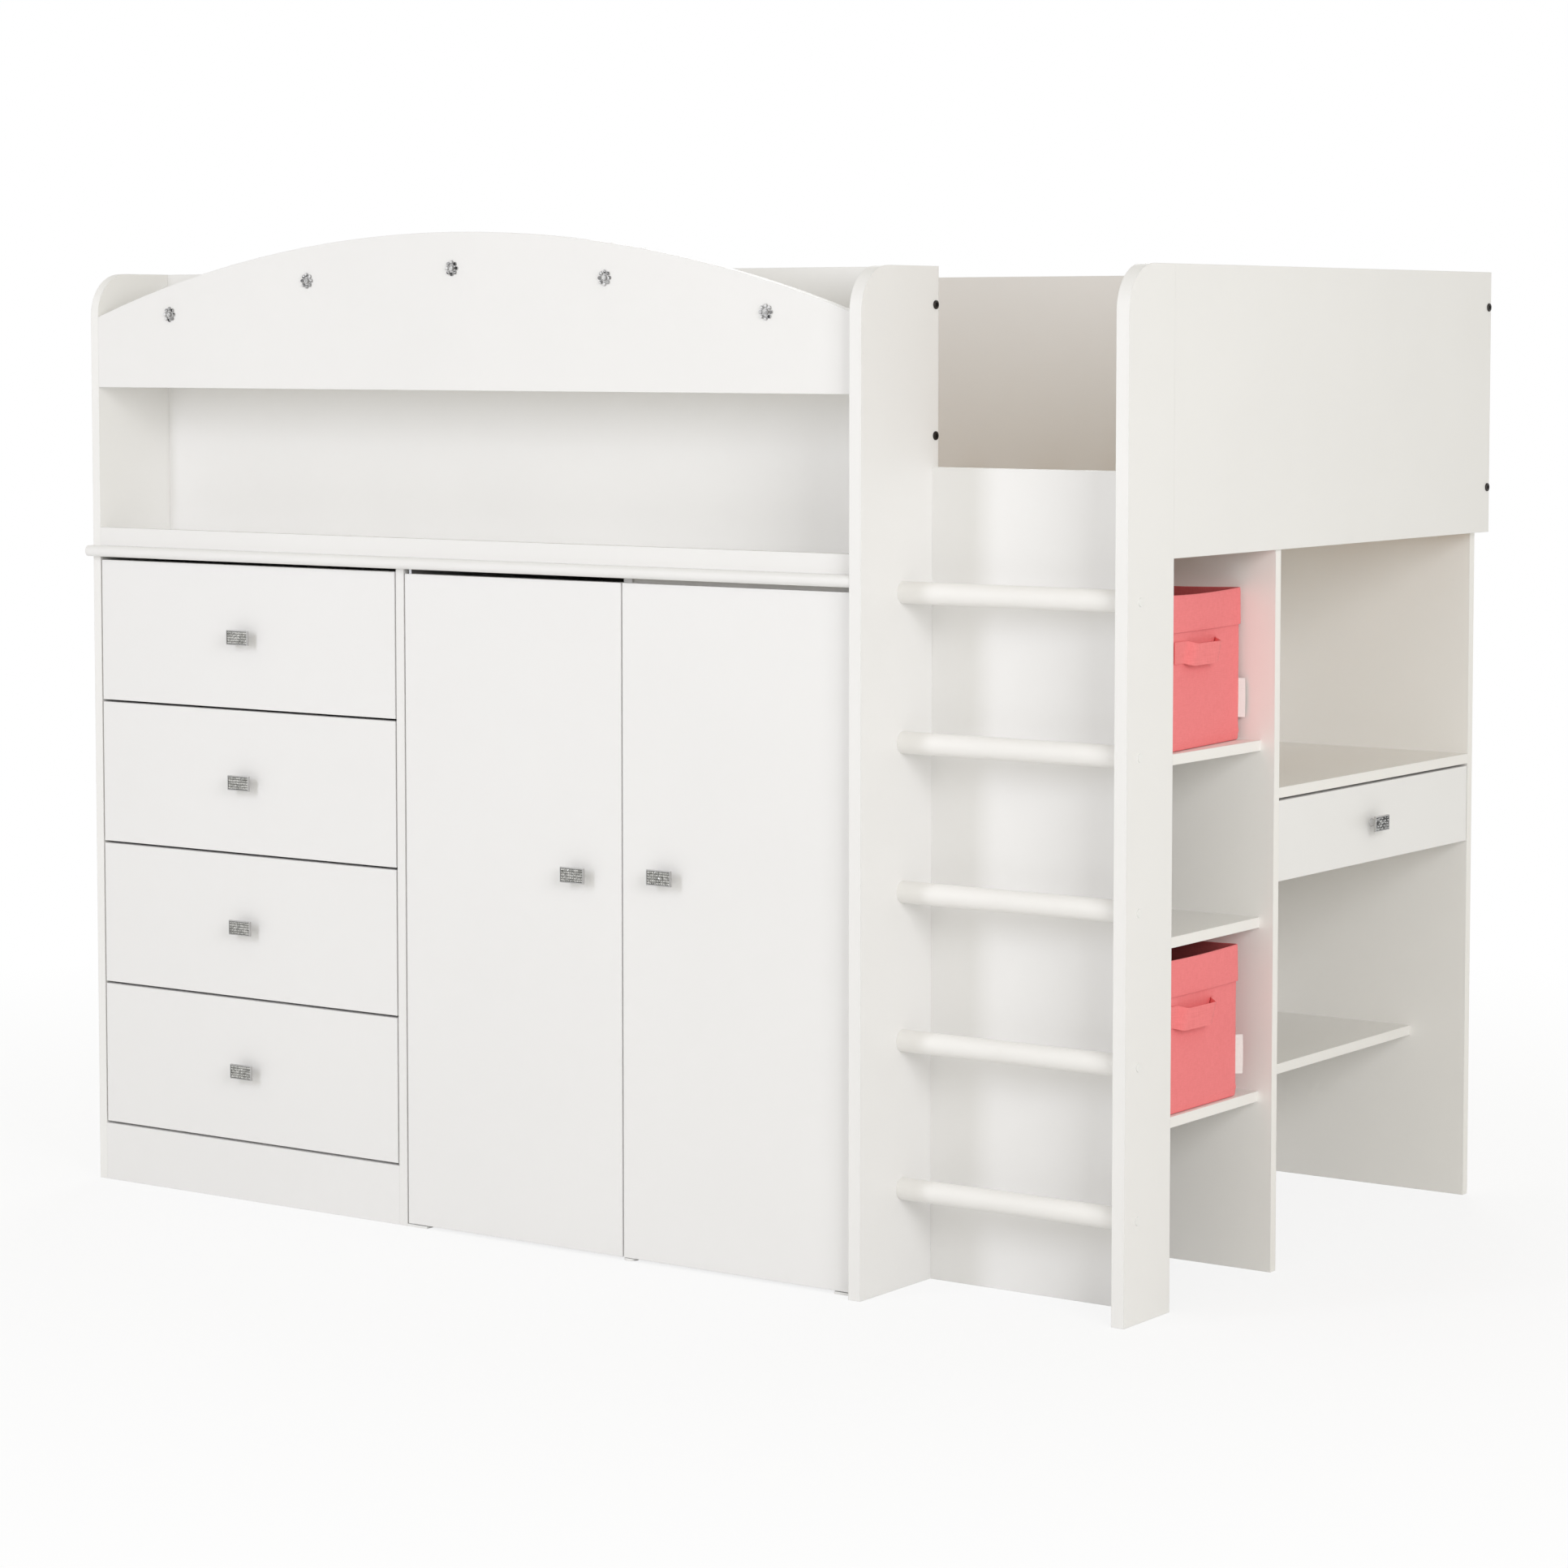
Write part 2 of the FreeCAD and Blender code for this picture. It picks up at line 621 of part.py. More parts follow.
# Shelf bay and desk under the ladder end.
def shelf_bay_and_desk():
    keep(board("bay_wall", ("upright_left", "bay_divider_front", "0"),
               ("bed_length - bay_setback - upright_left", "panel", "end_low")), "bay_divider")
    keep(board("desk_wall", ("side_left", "base_depth", "0"), ("panel", "bed_depth - base_depth", "end_low")),
         "desk_end_panel")
    keep(board("desk_rear", ("upright_left", "rear_front", "0"), ("desk_front - upright_left", "panel", "end_low")),
         "desk_rear_panel")
    shelves = []
    for top in ("bay_shelf_high", "bay_shelf_middle", "bay_shelf_low"):
        shelves.append(board("bay_shelf", ("upright_left", "guard_back", f"{top} - panel"),
                             ("bed_length - bay_shelf_setback - upright_left", "bay_divider_front - guard_back",
                              "panel")))
    keep(group("bay_boards", shelves), "bay_shelves")
    keep(board("desk_board", ("upright_left", "base_depth", "desk_height - panel"),
               ("desk_front - upright_left", "desk_width", "panel")), "desk_top")
    keep(board("low_board", ("upright_left", "base_depth", "desk_shelf_height - panel"),
               ("bed_length - desk_shelf_setback - upright_left", "desk_width", "panel")), "desk_lower_shelf")


# Slats of the bunk and the ledgers under their ends.
def slats():
    inside = "inner_right - panel"
    ledgers = [board("ledger", ("panel", y, "end_low"), (inside, "ledger_thick", "ledger_height"))
               for y in ("guard_back", "rear_front - ledger_thick")]
    keep(group("ledgers", ledgers), "slat_ledgers")
    slat_pitch = f"({inside} - 2 * slat_margin - slat_width) / {SLATS - 1}"
    planks = [board("slat", (f"panel + slat_margin + {index} * {slat_pitch}", "guard_back", "slat_low"),
                    ("slat_width", "rear_front - guard_back", "slat_thick")) for index in range(SLATS)]
    keep(group("slat_row", planks), "bed_slats")


# Turns an item about an upright line, by a slope, and then sets it off from there.
def turn_about(item, spot, slope, offset):
    item.Placement = FreeCAD.Placement(FreeCAD.Vector(), FreeCAD.Rotation(FreeCAD.Vector(0, 0, 1), 1))
    angle = f"atan({slope})"
    x, y = f"({spot[0]} - middle_x)", f"({spot[1]} - middle_y)"
    bind(item, **{"Placement.Rotation.Angle": angle,
                  "Placement.Base.x": f"{x} - {x} * cos({angle}) + {y} * sin({angle}) + {offset[0]}",
                  "Placement.Base.y": f"{y} - {x} * sin({angle}) - {y} * cos({angle}) + {offset[1]}"})


# Fabric bins: thin walls and floor, a folded rim round the mouth and a strap on the front. The upper one stands askew.
def fabric_bins():
    for label, shelf in (("upper_bin", "bay_shelf_high"), ("lower_bin", "bay_shelf_low")):
        back = "bin_front - bin_depth"
        low = f"{shelf} + bin_lift"
        sack = board("sack", (back, "bin_left", low), ("bin_depth", "bin_width", "bin_height"))
        rim = board("rim", (f"{back} - bin_rim_thick", "bin_left - bin_rim_thick", f"{low} + bin_height - bin_rim"),
                    ("bin_depth + 2 * bin_rim_thick", "bin_width + 2 * bin_rim_thick", "bin_rim"))
        strap = board("strap", ("bin_front", "bin_left + (bin_width - bin_handle_width) / 2 - bin_handle_shift",
                                f"{low} + bin_height - bin_rim - bin_handle_drop - bin_handle_height"),
                      ("bin_handle_thick", "bin_handle_width", "bin_handle_height"))
        hollow = board("hollow", (f"{back} + bin_wall", "bin_left + bin_wall", f"{low} + bin_wall"),
                       ("bin_depth - 2 * bin_wall", "bin_width - 2 * bin_wall", "bin_height"))
        fabric_bin = cut("bin", fuse("bin_outside", [sack, rim, strap]), [hollow])
        if label == "upper_bin":
            turn_about(fabric_bin, ("bin_front", "bin_left + bin_width"), "bin_turn_share",
                       ("-upper_bin_back", "upper_bin_aside"))
        keep(fabric_bin, label)


bunk_sides()
arched_guard()
ladder_rungs()
base_carcass()
hanging_rail()
chest_drawers()
desk_drawer()
runner_strips()
doors()
shelf_bay_and_desk()
slats()
fabric_bins()
doc.recompute()

faults = [item.Label for item in doc.Objects if "Invalid" in item.State or "Error" in item.State]
faults += [item.Label for item in nodes if not item.Shape.isValid() or not item.Shape.Solids]
if faults:
    raise RuntimeError(f"not built: {faults}")

os.makedirs("parts", exist_ok=True)
for item in nodes:
    item.Shape.exportStep(f"parts/{item.Label}.step")
print(f"{len(nodes)} sub-parts, {sum(len(item.Shape.Solids) for item in nodes)} solids")
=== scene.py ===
import math
import bpy
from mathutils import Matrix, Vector, noise


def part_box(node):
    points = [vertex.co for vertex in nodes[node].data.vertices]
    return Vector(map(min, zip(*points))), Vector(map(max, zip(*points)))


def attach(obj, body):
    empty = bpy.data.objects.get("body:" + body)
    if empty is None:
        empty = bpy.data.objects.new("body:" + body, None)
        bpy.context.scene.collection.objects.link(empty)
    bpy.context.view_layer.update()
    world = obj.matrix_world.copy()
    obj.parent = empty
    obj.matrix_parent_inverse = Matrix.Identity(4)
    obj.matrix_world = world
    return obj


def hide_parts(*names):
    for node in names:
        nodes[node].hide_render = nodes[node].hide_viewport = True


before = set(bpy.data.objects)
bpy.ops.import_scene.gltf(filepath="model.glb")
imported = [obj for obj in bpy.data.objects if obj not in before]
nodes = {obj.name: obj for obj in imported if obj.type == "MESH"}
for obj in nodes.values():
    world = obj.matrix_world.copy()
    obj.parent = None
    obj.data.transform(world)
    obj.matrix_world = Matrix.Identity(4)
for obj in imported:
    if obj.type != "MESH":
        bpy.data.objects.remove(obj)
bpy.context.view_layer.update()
print("frame loaded:", len(nodes), "nodes")

facingY = (math.radians(90), 0, 0)  # turns a new cylinder or grid to look along Y
facingX = (0, math.radians(90), 0)
squareOn = 0.99  # the cosine from which a face counts as looking along an axis


# selecting, shaping and finishing

def clearSelection():
    if bpy.context.object and bpy.context.object.mode != "OBJECT":
        bpy.ops.object.mode_set(mode="OBJECT")
    bpy.ops.object.select_all(action="DESELECT")


def activate(*pieces):
    clearSelection()
    for piece in pieces:
        piece.select_set(True)
    bpy.context.view_layer.objects.active = pieces[0]


def named(name):
    piece = bpy.context.object
    piece.name = piece.data.name = name
    return piece


def settle():
    bpy.ops.object.mode_set(mode="OBJECT")
    bpy.ops.object.transform_apply(location=True, rotation=True, scale=True)


# kind is vertices, edges or polygons; leaves the piece in edit mode with only the wanted ones selected
def pick(piece, kind, wanted):
    bpy.ops.object.mode_set(mode="OBJECT")
    mesh = piece.data
    for part in (*mesh.vertices, *mesh.edges, *mesh.polygons):
        part.select = False
    bpy.context.tool_settings.mesh_select_mode = [kind == each for each in ("vertices", "edges", "polygons")]
    for part in getattr(mesh, kind):
        part.select = bool(wanted(part))
    bpy.ops.object.mode_set(mode="EDIT")


def edgeEnds(piece, edge):
    return [piece.data.vertices[index].co for index in edge.vertices]


def pickAll():
    bpy.ops.object.mode_set(mode="EDIT")
    bpy.ops.mesh.select_all(action="SELECT")


def applyModifier(piece, kind, **values):
    activate(piece)
    step = piece.modifiers.new(kind.title(), kind)
    for name, value in values.items():
        setattr(step, name, value)
    bpy.ops.object.modifier_apply(modifier=step.name)


def joined(name, pieces):
    activate(*pieces)
    bpy.ops.object.join()
    return named(name)


def copyOf(piece, name):
    activate(piece)
    bpy.ops.object.duplicate(linked=False)
    return named(name)


def shift(piece, offset, turn=0.0):
    activate(piece)
    piece.rotation_euler = (0, 0, turn)
    piece.location = offset
    settle()


def smooth(piece, degrees):
    activate(piece)
    bpy.ops.object.shade_smooth_by_angle(angle=math.radians(degrees))


def dress(piece, *finishes):
    piece.data.materials.clear()
    for finish in finishes:
        piece.data.materials.append(finish)


# shader nodes

colourSocket, valueSocket, vectorSocket = "NodeSocketColor", "NodeSocketFloat", "NodeSocketVector"
surfaceOutputs = [("Colour", colourSocket), ("Roughness", valueSocket), ("Height", valueSocket)]


def link(tree, value, socket):
    if isinstance(value, bpy.types.NodeSocket):
        tree.links.new(value, socket)
    else:
        socket.default_value = value


def addNode(tree, kind, sockets=None, **settings):
    node = tree.nodes.new(kind)
    for name, value in settings.items():
        setattr(node, name, value)
    for name, value in (sockets or {}).items():
        link(tree, value, node.inputs[name])
    return node


def mixColour(tree, factor, first, second, blend="MIX"):
    node = addNode(tree, "ShaderNodeMix", {0: factor, 6: first, 7: second},
                   data_type="RGBA", blend_type=blend)
    return node.outputs[2]


def maths(tree, operation, first, second):
    return addNode(tree, "ShaderNodeMath", {0: first, 1: second}, operation=operation).outputs[0]


def spread(tree, value, fromLow, fromHigh, toLow, toHigh):
    return addNode(tree, "ShaderNodeMapRange", {"Value": value, "From Min": fromLow, "From Max": fromHigh,
                                                "To Min": toLow, "To Max": toHigh}).outputs[0]


def objectPlace(tree):
    return addNode(tree, "ShaderNodeTexCoord").outputs["Object"]


def noiseAt(tree, place, scale, detail, roughness=0.5):
    return addNode(tree, "ShaderNodeTexNoise", {"Vector": place, "Scale": scale, "Detail": detail,
                                                "Roughness": roughness}).outputs


def stretched(tree, place, by):
    return addNode(tree, "ShaderNodeVectorMath", {0: place, 1: by}, operation="MULTIPLY").outputs[0]


def newGroup(name, inputs, outputs):
    group = bpy.data.node_groups.new(name, "ShaderNodeTree")
    for label, kind, value in inputs:
        group.interface.new_socket(label, in_out="INPUT", socket_type=kind).default_value = value
    for label, kind in outputs:
        group.interface.new_socket(label, in_out="OUTPUT", socket_type=kind)
    return group, group.nodes.new("NodeGroupInput").outputs, group.nodes.new("NodeGroupOutput").inputs


def placeGroup(tree, group, sockets):
    return addNode(tree, "ShaderNodeGroup", sockets, node_tree=group).outputs


def newFinish(name, **constants):
    finish = bpy.data.materials.new(name)
    finish.use_nodes = True
    shader = finish.node_tree.nodes["Principled BSDF"]
    for label, value in constants.items():
        shader.inputs[label.replace("_", " ")].default_value = value
    return finish, finish.node_tree, shader.inputs


# colour, roughness and relief of a surface group go to the shader
def feed(tree, inputs, surface, relief, depth, normal=None):
    link(tree, surface["Colour"], inputs["Base Color"])
    link(tree, surface["Roughness"], inputs["Roughness"])
    raised = addNode(tree, "ShaderNodeBump", {"Height": surface["Height"], "Strength": relief,
                                              "Distance": depth})
    if normal is not None:
        link(tree, normal, raised.inputs["Normal"])
    link(tree, raised.outputs[0], inputs["Normal"])


# eased arris: rounds the look of a sharp board edge and marks where the edge is
def makeEasedEdge():
    tree, given, result = newGroup(
        "easedEdge", [("Radius", valueSocket, 0.001), ("Reach", valueSocket, 0.25)],
        [("Normal", vectorSocket), ("Edge", valueSocket)])
    rounded = addNode(tree, "ShaderNodeBevel", {"Radius": given["Radius"]}, samples=4).outputs[0]
    plain = addNode(tree, "ShaderNodeNewGeometry").outputs["Normal"]
    lean = addNode(tree, "ShaderNodeVectorMath", {0: rounded, 1: plain}, operation="DOT_PRODUCT")
    away = maths(tree, "SUBTRACT", 1.0, lean.outputs["Value"])
    link(tree, rounded, result["Normal"])
    link(tree, spread(tree, away, 0.0, given["Reach"], 0.0, 1.0), result["Edge"])
    return tree


# faced board: a faint cloud in the white, a fine orange peel and soft changes of gloss
def makeBoardFacing():
    tree, given, result = newGroup(
        "boardFacing",
        [("Face", colourSocket, (0.86, 0.85, 0.83, 1)), ("Band", colourSocket, (0.9, 0.89, 0.87, 1)),
         ("Edge", valueSocket, 0.0), ("Cloud", valueSocket, 0.03), ("Gloss Low", valueSocket, 0.36),
         ("Gloss High", valueSocket, 0.48)], surfaceOutputs)
    place = objectPlace(tree)
    cloud = noiseAt(tree, place, 2.6, 3.0, 0.55)[0]
    peel = noiseAt(tree, place, 320.0, 2.0)[0]
    rubbed = noiseAt(tree, place, 14.0, 5.0, 0.62)[0]
    shade = maths(tree, "MULTIPLY", maths(tree, "SUBTRACT", cloud, 0.5), given["Cloud"])
    tone = mixColour(tree, 1.0, given["Face"], maths(tree, "ADD", 1.0, shade), "MULTIPLY")
    worn = maths(tree, "MULTIPLY", given["Edge"], spread(tree, rubbed, 0.35, 0.7, 0.25, 0.9))
    gloss = maths(tree, "ADD", maths(tree, "MULTIPLY", rubbed, 0.7), maths(tree, "MULTIPLY", peel, 0.3))
    link(tree, mixColour(tree, worn, tone, given["Band"]), result["Colour"])
    link(tree, spread(tree, gloss, 0.3, 0.7, given["Gloss Low"], given["Gloss High"]), result["Roughness"])
    link(tree, peel, result["Height"])
    return tree


# sawn softwood: growth rings stretched along the piece, darker late wood, fine pores and a few knots
def makeSoftwoodGrain():
    tree, given, result = newGroup(
        "softwoodGrain",
        [("Early", colourSocket, (0.72, 0.52, 0.3, 1)), ("Late", colourSocket, (0.5, 0.3, 0.14, 1)),
         ("Arris", valueSocket, 0.0), ("Along", vectorSocket, (9.0, 0.5, 9.0))], surfaceOutputs)
    place = objectPlace(tree)
    run = stretched(tree, place, given["Along"])
    drift = noiseAt(tree, run, 0.9, 2.0)["Color"]
    bent = addNode(tree, "ShaderNodeVectorMath", {0: drift, 1: (0.5, 0.5, 0.5), 2: run},
                   operation="MULTIPLY_ADD")
    rings = addNode(tree, "ShaderNodeTexWave", {"Vector": bent.outputs[0], "Scale": 5.5, "Distortion": 2.2,
                                                "Detail": 2.0, "Detail Scale": 1.4},
                    wave_type="RINGS", rings_direction="Y")
    fibre = noiseAt(tree, run, 46.0, 3.0)[0]
    knots = addNode(tree, "ShaderNodeTexVoronoi", {"Vector": place, "Scale": 3.1}, feature="F1")
    knot = spread(tree, knots.outputs["Distance"], 0.035, 0.06, 1.0, 0.0)
    late = maths(tree, "POWER", rings.outputs["Color"], 2.4)
    grain = mixColour(tree, maths(tree, "MULTIPLY", late, 0.62), given["Early"], given["Late"])
    fine = mixColour(tree, spread(tree, fibre, 0.4, 0.75, 0.0, 0.28), grain, given["Late"])
    knotted = mixColour(tree, maths(tree, "MULTIPLY", knot, 0.8), fine, (0.16, 0.07, 0.03, 1))
    link(tree, mixColour(tree, given["Arris"], knotted, given["Early"]), result["Colour"])
    link(tree, spread(tree, fibre, 0.3, 0.7, 0.5, 0.68), result["Roughness"])
    link(tree, maths(tree, "ADD", fibre, maths(tree, "MULTIPLY", late, 0.6)), result["Height"])
    return tree


# plain weave: level and upright yarns of uneven thickness, with slubs and faded patches
def makeClothWeave():
    tree, given, result = newGroup(
        "clothWeave",
        [("Thread", colourSocket, (0.8, 0.2, 0.2, 1)), ("Shade", colourSocket, (0.5, 0.1, 0.1, 1)),
         ("Pitch", valueSocket, 1000.0), ("Slub", valueSocket, 0.2)], surfaceOutputs)
    place = objectPlace(tree)
    weft, warp = (noiseAt(tree, stretched(tree, place, run), given["Pitch"], 1.0)[0]
                  for run in ((0.07, 0.07, 1.0), (1.0, 1.0, 0.07)))  # weft lies level, warp stands upright
    threads = spread(tree, maths(tree, "ADD", weft, warp), 0.7, 1.3, 0.0, 1.0)
    slub = noiseAt(tree, place, 180.0, 4.0, 0.65)[0]
    faded = noiseAt(tree, place, 11.0, 3.0)[0]
    dark = maths(tree, "MULTIPLY", maths(tree, "SUBTRACT", 1.0, threads), 0.34)
    for patch, middle, amount in ((slub, 0.42, given["Slub"]), (faded, 0.5, 0.16)):
        change = maths(tree, "MULTIPLY", maths(tree, "SUBTRACT", patch, middle), amount)
        dark = maths(tree, "ADD", dark, change)
    link(tree, mixColour(tree, dark, given["Thread"], given["Shade"]), result["Colour"])
    link(tree, spread(tree, slub, 0.3, 0.7, 0.78, 0.95), result["Roughness"])
    link(tree, maths(tree, "ADD", threads, maths(tree, "MULTIPLY", slub, 0.7)), result["Height"])
    return tree


# metal that has been handled: cloudy tarnish, fine scratches and tarnish left in the hollows
def makeTarnish():
    tree, given, result = newGroup(
        "tarnish",
        [("Bright", colourSocket, (0.6, 0.6, 0.6, 1)), ("Dull", colourSocket, (0.25, 0.25, 0.24, 1)),
         ("Hollow", valueSocket, 0.002), ("Amount", valueSocket, 0.5), ("Polish", valueSocket, 0.2)],
        surfaceOutputs)
    place = objectPlace(tree)
    cloud = noiseAt(tree, place, 210.0, 4.0, 0.6)[0]
    scratch = noiseAt(tree, place, 1500.0, 2.0)[0]
    hollow = addNode(tree, "ShaderNodeAmbientOcclusion", {"Distance": given["Hollow"]},
                     samples=6, only_local=True)
    depth = spread(tree, hollow.outputs["AO"], 0.55, 1.0, 1.0, 0.0)
    stain = maths(tree, "MULTIPLY", spread(tree, cloud, 0.4, 0.72, 0.0, 1.0), 0.5)
    stain = maths(tree, "MULTIPLY", maths(tree, "MAXIMUM", depth, stain), given["Amount"])
    rough = maths(tree, "ADD", given["Polish"], maths(tree, "MULTIPLY", stain, 0.32))
    link(tree, mixColour(tree, stain, given["Bright"], given["Dull"]), result["Colour"])
    link(tree, maths(tree, "ADD", rough, spread(tree, scratch, 0.3, 0.7, -0.03, 0.05)), result["Roughness"])
    link(tree, scratch, result["Height"])
    return tree


# small cut stones: painted reflections; each facet cell is painted dark or bright, standing in for the part
# of the room it throws back, so its shade is its own
def makePaintedGlints():
    tree, given, result = newGroup(
        "paintedGlints",
        [("Dark", colourSocket, (0.05, 0.05, 0.05, 1)), ("Bright", colourSocket, (0.8, 0.8, 0.8, 1)),
         ("Facets", valueSocket, 200.0), ("Share", valueSocket, 0.5)], surfaceOutputs)
    place = objectPlace(tree)
    facets = addNode(tree, "ShaderNodeTexVoronoi", {"Vector": place, "Scale": given["Facets"]}, feature="F1")
    haze = noiseAt(tree, place, 900.0, 2.0)[0]
    draw = addNode(tree, "ShaderNodeSeparateColor", {"Color": facets.outputs["Color"]}).outputs
    low, high = (maths(tree, step, given["Share"], 0.3) for step in ("SUBTRACT", "ADD"))
    lit = spread(tree, draw[0], low, high, 0.0, 1.0)
    # painted reflections: each cell takes the dark or the bright colour by its random draw
    link(tree, mixColour(tree, lit, given["Dark"], given["Bright"]), result["Colour"])
    link(tree, spread(tree, haze, 0.3, 0.7, 0.04, 0.16), result["Roughness"])
    link(tree, draw[1], result["Height"])
    return tree


easedEdge, boardFacing, softwoodGrain = makeEasedEdge(), makeBoardFacing(), makeSoftwoodGrain()
clothWeave, tarnish, paintedGlints = makeClothWeave(), makeTarnish(), makePaintedGlints()


# white boards: carcass, fronts, open bays, niche and insides, then the lacquered and the moulded pieces; the
# open bays and the niche take brighter copies of the board white, which paint light into them
whiteBoards = {
    "carcassFacing": {"face": (0.862, 0.855, 0.846, 1), "band": (0.895, 0.890, 0.882, 1), "cloud": 0.05,
                      "gloss": (0.38, 0.52), "radius": 0.0012, "peel": 0.06},
    "frontFacing": {"face": (0.868, 0.862, 0.858, 1), "band": (0.895, 0.890, 0.882, 1), "cloud": 0.035,
                    "gloss": (0.30, 0.42), "radius": 0.0010, "peel": 0.05},
    # the bay and niche copies below are the board white made brighter: painted light
    "bayFacingPaintedLight": {"face": (0.905, 0.892, 0.868, 1), "band": (0.905, 0.895, 0.88, 1), "cloud": 0.05,
                  "gloss": (0.40, 0.54), "radius": 0.0012, "peel": 0.06},
    "nicheFacingPaintedLight": {"face": (0.895, 0.888, 0.872, 1), "band": (0.9, 0.895, 0.885, 1), "cloud": 0.05,
                    "gloss": (0.38, 0.52), "radius": 0.0012, "peel": 0.06},
    "linerFacing": {"face": (0.83, 0.81, 0.775, 1), "band": (0.80, 0.765, 0.70, 1), "cloud": 0.06,
                    "gloss": (0.48, 0.62), "radius": 0.0008, "peel": 0.08},
    "rungLacquer": {"face": (0.875, 0.862, 0.842, 1), "band": (0.89, 0.88, 0.86, 1), "cloud": 0.07,
                    "gloss": (0.50, 0.64), "radius": 0.0015, "peel": 0.14},
    "mouldedWhite": {"face": (0.86, 0.86, 0.85, 1), "band": (0.9, 0.9, 0.89, 1), "cloud": 0.05,
                     "gloss": (0.30, 0.44), "radius": 0.0006, "peel": 0.05},
}
boardLacquer = {"ior": 1.47, "peelDepth": 0.0006}


def makeWhite(name):
    w = whiteBoards[name]
    finish, tree, inputs = newFinish(name, IOR=boardLacquer["ior"])
    arris = placeGroup(tree, easedEdge, {"Radius": w["radius"]})
    facing = placeGroup(tree, boardFacing, {"Face": w["face"], "Band": w["band"], "Cloud": w["cloud"],
                                            "Edge": arris["Edge"], "Gloss Low": w["gloss"][0],
                                            "Gloss High": w["gloss"][1]})
    feed(tree, inputs, facing, w["peel"], boardLacquer["peelDepth"], arris["Normal"])
    return finish


# slats and ledgers, each with its grain along its length
slatPine = {"early": (0.61, 0.40, 0.20, 1), "late": (0.41, 0.23, 0.10, 1), "ior": 1.5, "arris": 0.002,
            "arrisPale": 0.35, "relief": 0.22, "depth": 0.0007}
grainAlong = {"slatPine": (9.0, 0.5, 9.0), "ledgerPine": (0.5, 9.0, 9.0)}


def makePine(name):
    p = slatPine
    finish, tree, inputs = newFinish(name, IOR=p["ior"])
    arris = placeGroup(tree, easedEdge, {"Radius": p["arris"]})
    pale = maths(tree, "MULTIPLY", arris["Edge"], p["arrisPale"])
    grain = placeGroup(tree, softwoodGrain, {"Early": p["early"], "Late": p["late"], "Arris": pale,
                                             "Along": grainAlong[name]})
    feed(tree, inputs, grain, p["relief"], p["depth"], arris["Normal"])
    return finish


# knobs and studs, their grooves, the pins and the rail, and the bolts
metals = {
    "castSilver": {"bright": (0.50, 0.495, 0.485, 1), "dull": (0.24, 0.235, 0.225, 1), "hollow": 0.0014,
                   "amount": 0.4, "polish": 0.28},
    "silverPatina": {"bright": (0.40, 0.395, 0.38, 1), "dull": (0.19, 0.187, 0.18, 1), "hollow": 0.0010,
                     "amount": 0.5, "polish": 0.42},
    "zincSteel": {"bright": (0.60, 0.61, 0.63, 1), "dull": (0.36, 0.36, 0.37, 1), "hollow": 0.003,
                  "amount": 0.5, "polish": 0.26},
    "blackSteel": {"bright": (0.055, 0.05, 0.046, 1), "dull": (0.02, 0.019, 0.018, 1), "hollow": 0.002,
                   "amount": 0.7, "polish": 0.36},
}
metalScratch = {"relief": 0.05, "depth": 0.0001}


def makeMetal(name):
    m = metals[name]
    finish, tree, inputs = newFinish(name, Metallic=1.0)
    worn = placeGroup(tree, tarnish, {"Bright": m["bright"], "Dull": m["dull"], "Hollow": m["hollow"],
                                      "Amount": m["amount"], "Polish": m["polish"]})
    feed(tree, inputs, worn, metalScratch["relief"], metalScratch["depth"])
    return finish


# foiled stones: a close pavement on the knobs, and petals and hearts on the studs; their dark and bright
# facet colours are painted reflections
stones = {
    "pavedStone": {"dark": (0.34, 0.34, 0.322, 1), "bright": (0.62, 0.615, 0.59, 1),
                   "facets": 330.0, "share": 0.46},
    # the desk knob's copy: darker, more contrasted painted reflections for the side it faces
    "deskStoneDarkReflection": {"dark": (0.022, 0.022, 0.022, 1), "bright": (0.60, 0.60, 0.59, 1),
                  "facets": 330.0, "share": 0.62},
    "petalStone": {"dark": (0.040, 0.040, 0.041, 1), "bright": (0.78, 0.78, 0.78, 1),
                   "facets": 170.0, "share": 0.47},
    "heartStone": {"dark": (0.42, 0.42, 0.42, 1), "bright": (0.74, 0.74, 0.73, 1),
                   "facets": 300.0, "share": 0.40},
}
stoneFoil = {"metal": 0.85, "coat": 0.4, "relief": 0.15, "depth": 0.0004}


def makeStone(name):
    s, f = stones[name], stoneFoil
    finish, tree, inputs = newFinish(name, Metallic=f["metal"], Coat_Weight=f["coat"])
    cut = placeGroup(tree, paintedGlints, {"Dark": s["dark"], "Bright": s["bright"], "Facets": s["facets"],
                                     "Share": s["share"]})
    feed(tree, inputs, cut, f["relief"], f["depth"])
    return finish


# cloth, a darker copy of it for the inside (painted shade), straps and tapes of the bins
cloths = {
    "coralCloth": {"thread": (0.94, 0.252, 0.262, 1), "shade": (0.78, 0.168, 0.178, 1), "pitch": 1100.0,
                   "slub": 0.28, "depth": 0.0002},
    # the cloth darkened for the inside of the bin: painted shade
    "coralClothInsideShade": {"thread": (0.58, 0.115, 0.115, 1), "shade": (0.40, 0.065, 0.062, 1), "pitch": 900.0,
                    "slub": 0.34, "depth": 0.0003},
    "coralWebbing": {"thread": (0.94, 0.256, 0.262, 1), "shade": (0.74, 0.160, 0.168, 1), "pitch": 620.0,
                     "slub": 0.25, "depth": 0.0004},
    "whiteTape": {"thread": (0.86, 0.855, 0.845, 1), "shade": (0.70, 0.69, 0.67, 1), "pitch": 1500.0,
                  "slub": 0.2, "depth": 0.0002},
}
clothNap = {"sheen": 0.08, "sheenSpread": 0.5, "shine": 0.2, "relief": 0.3}


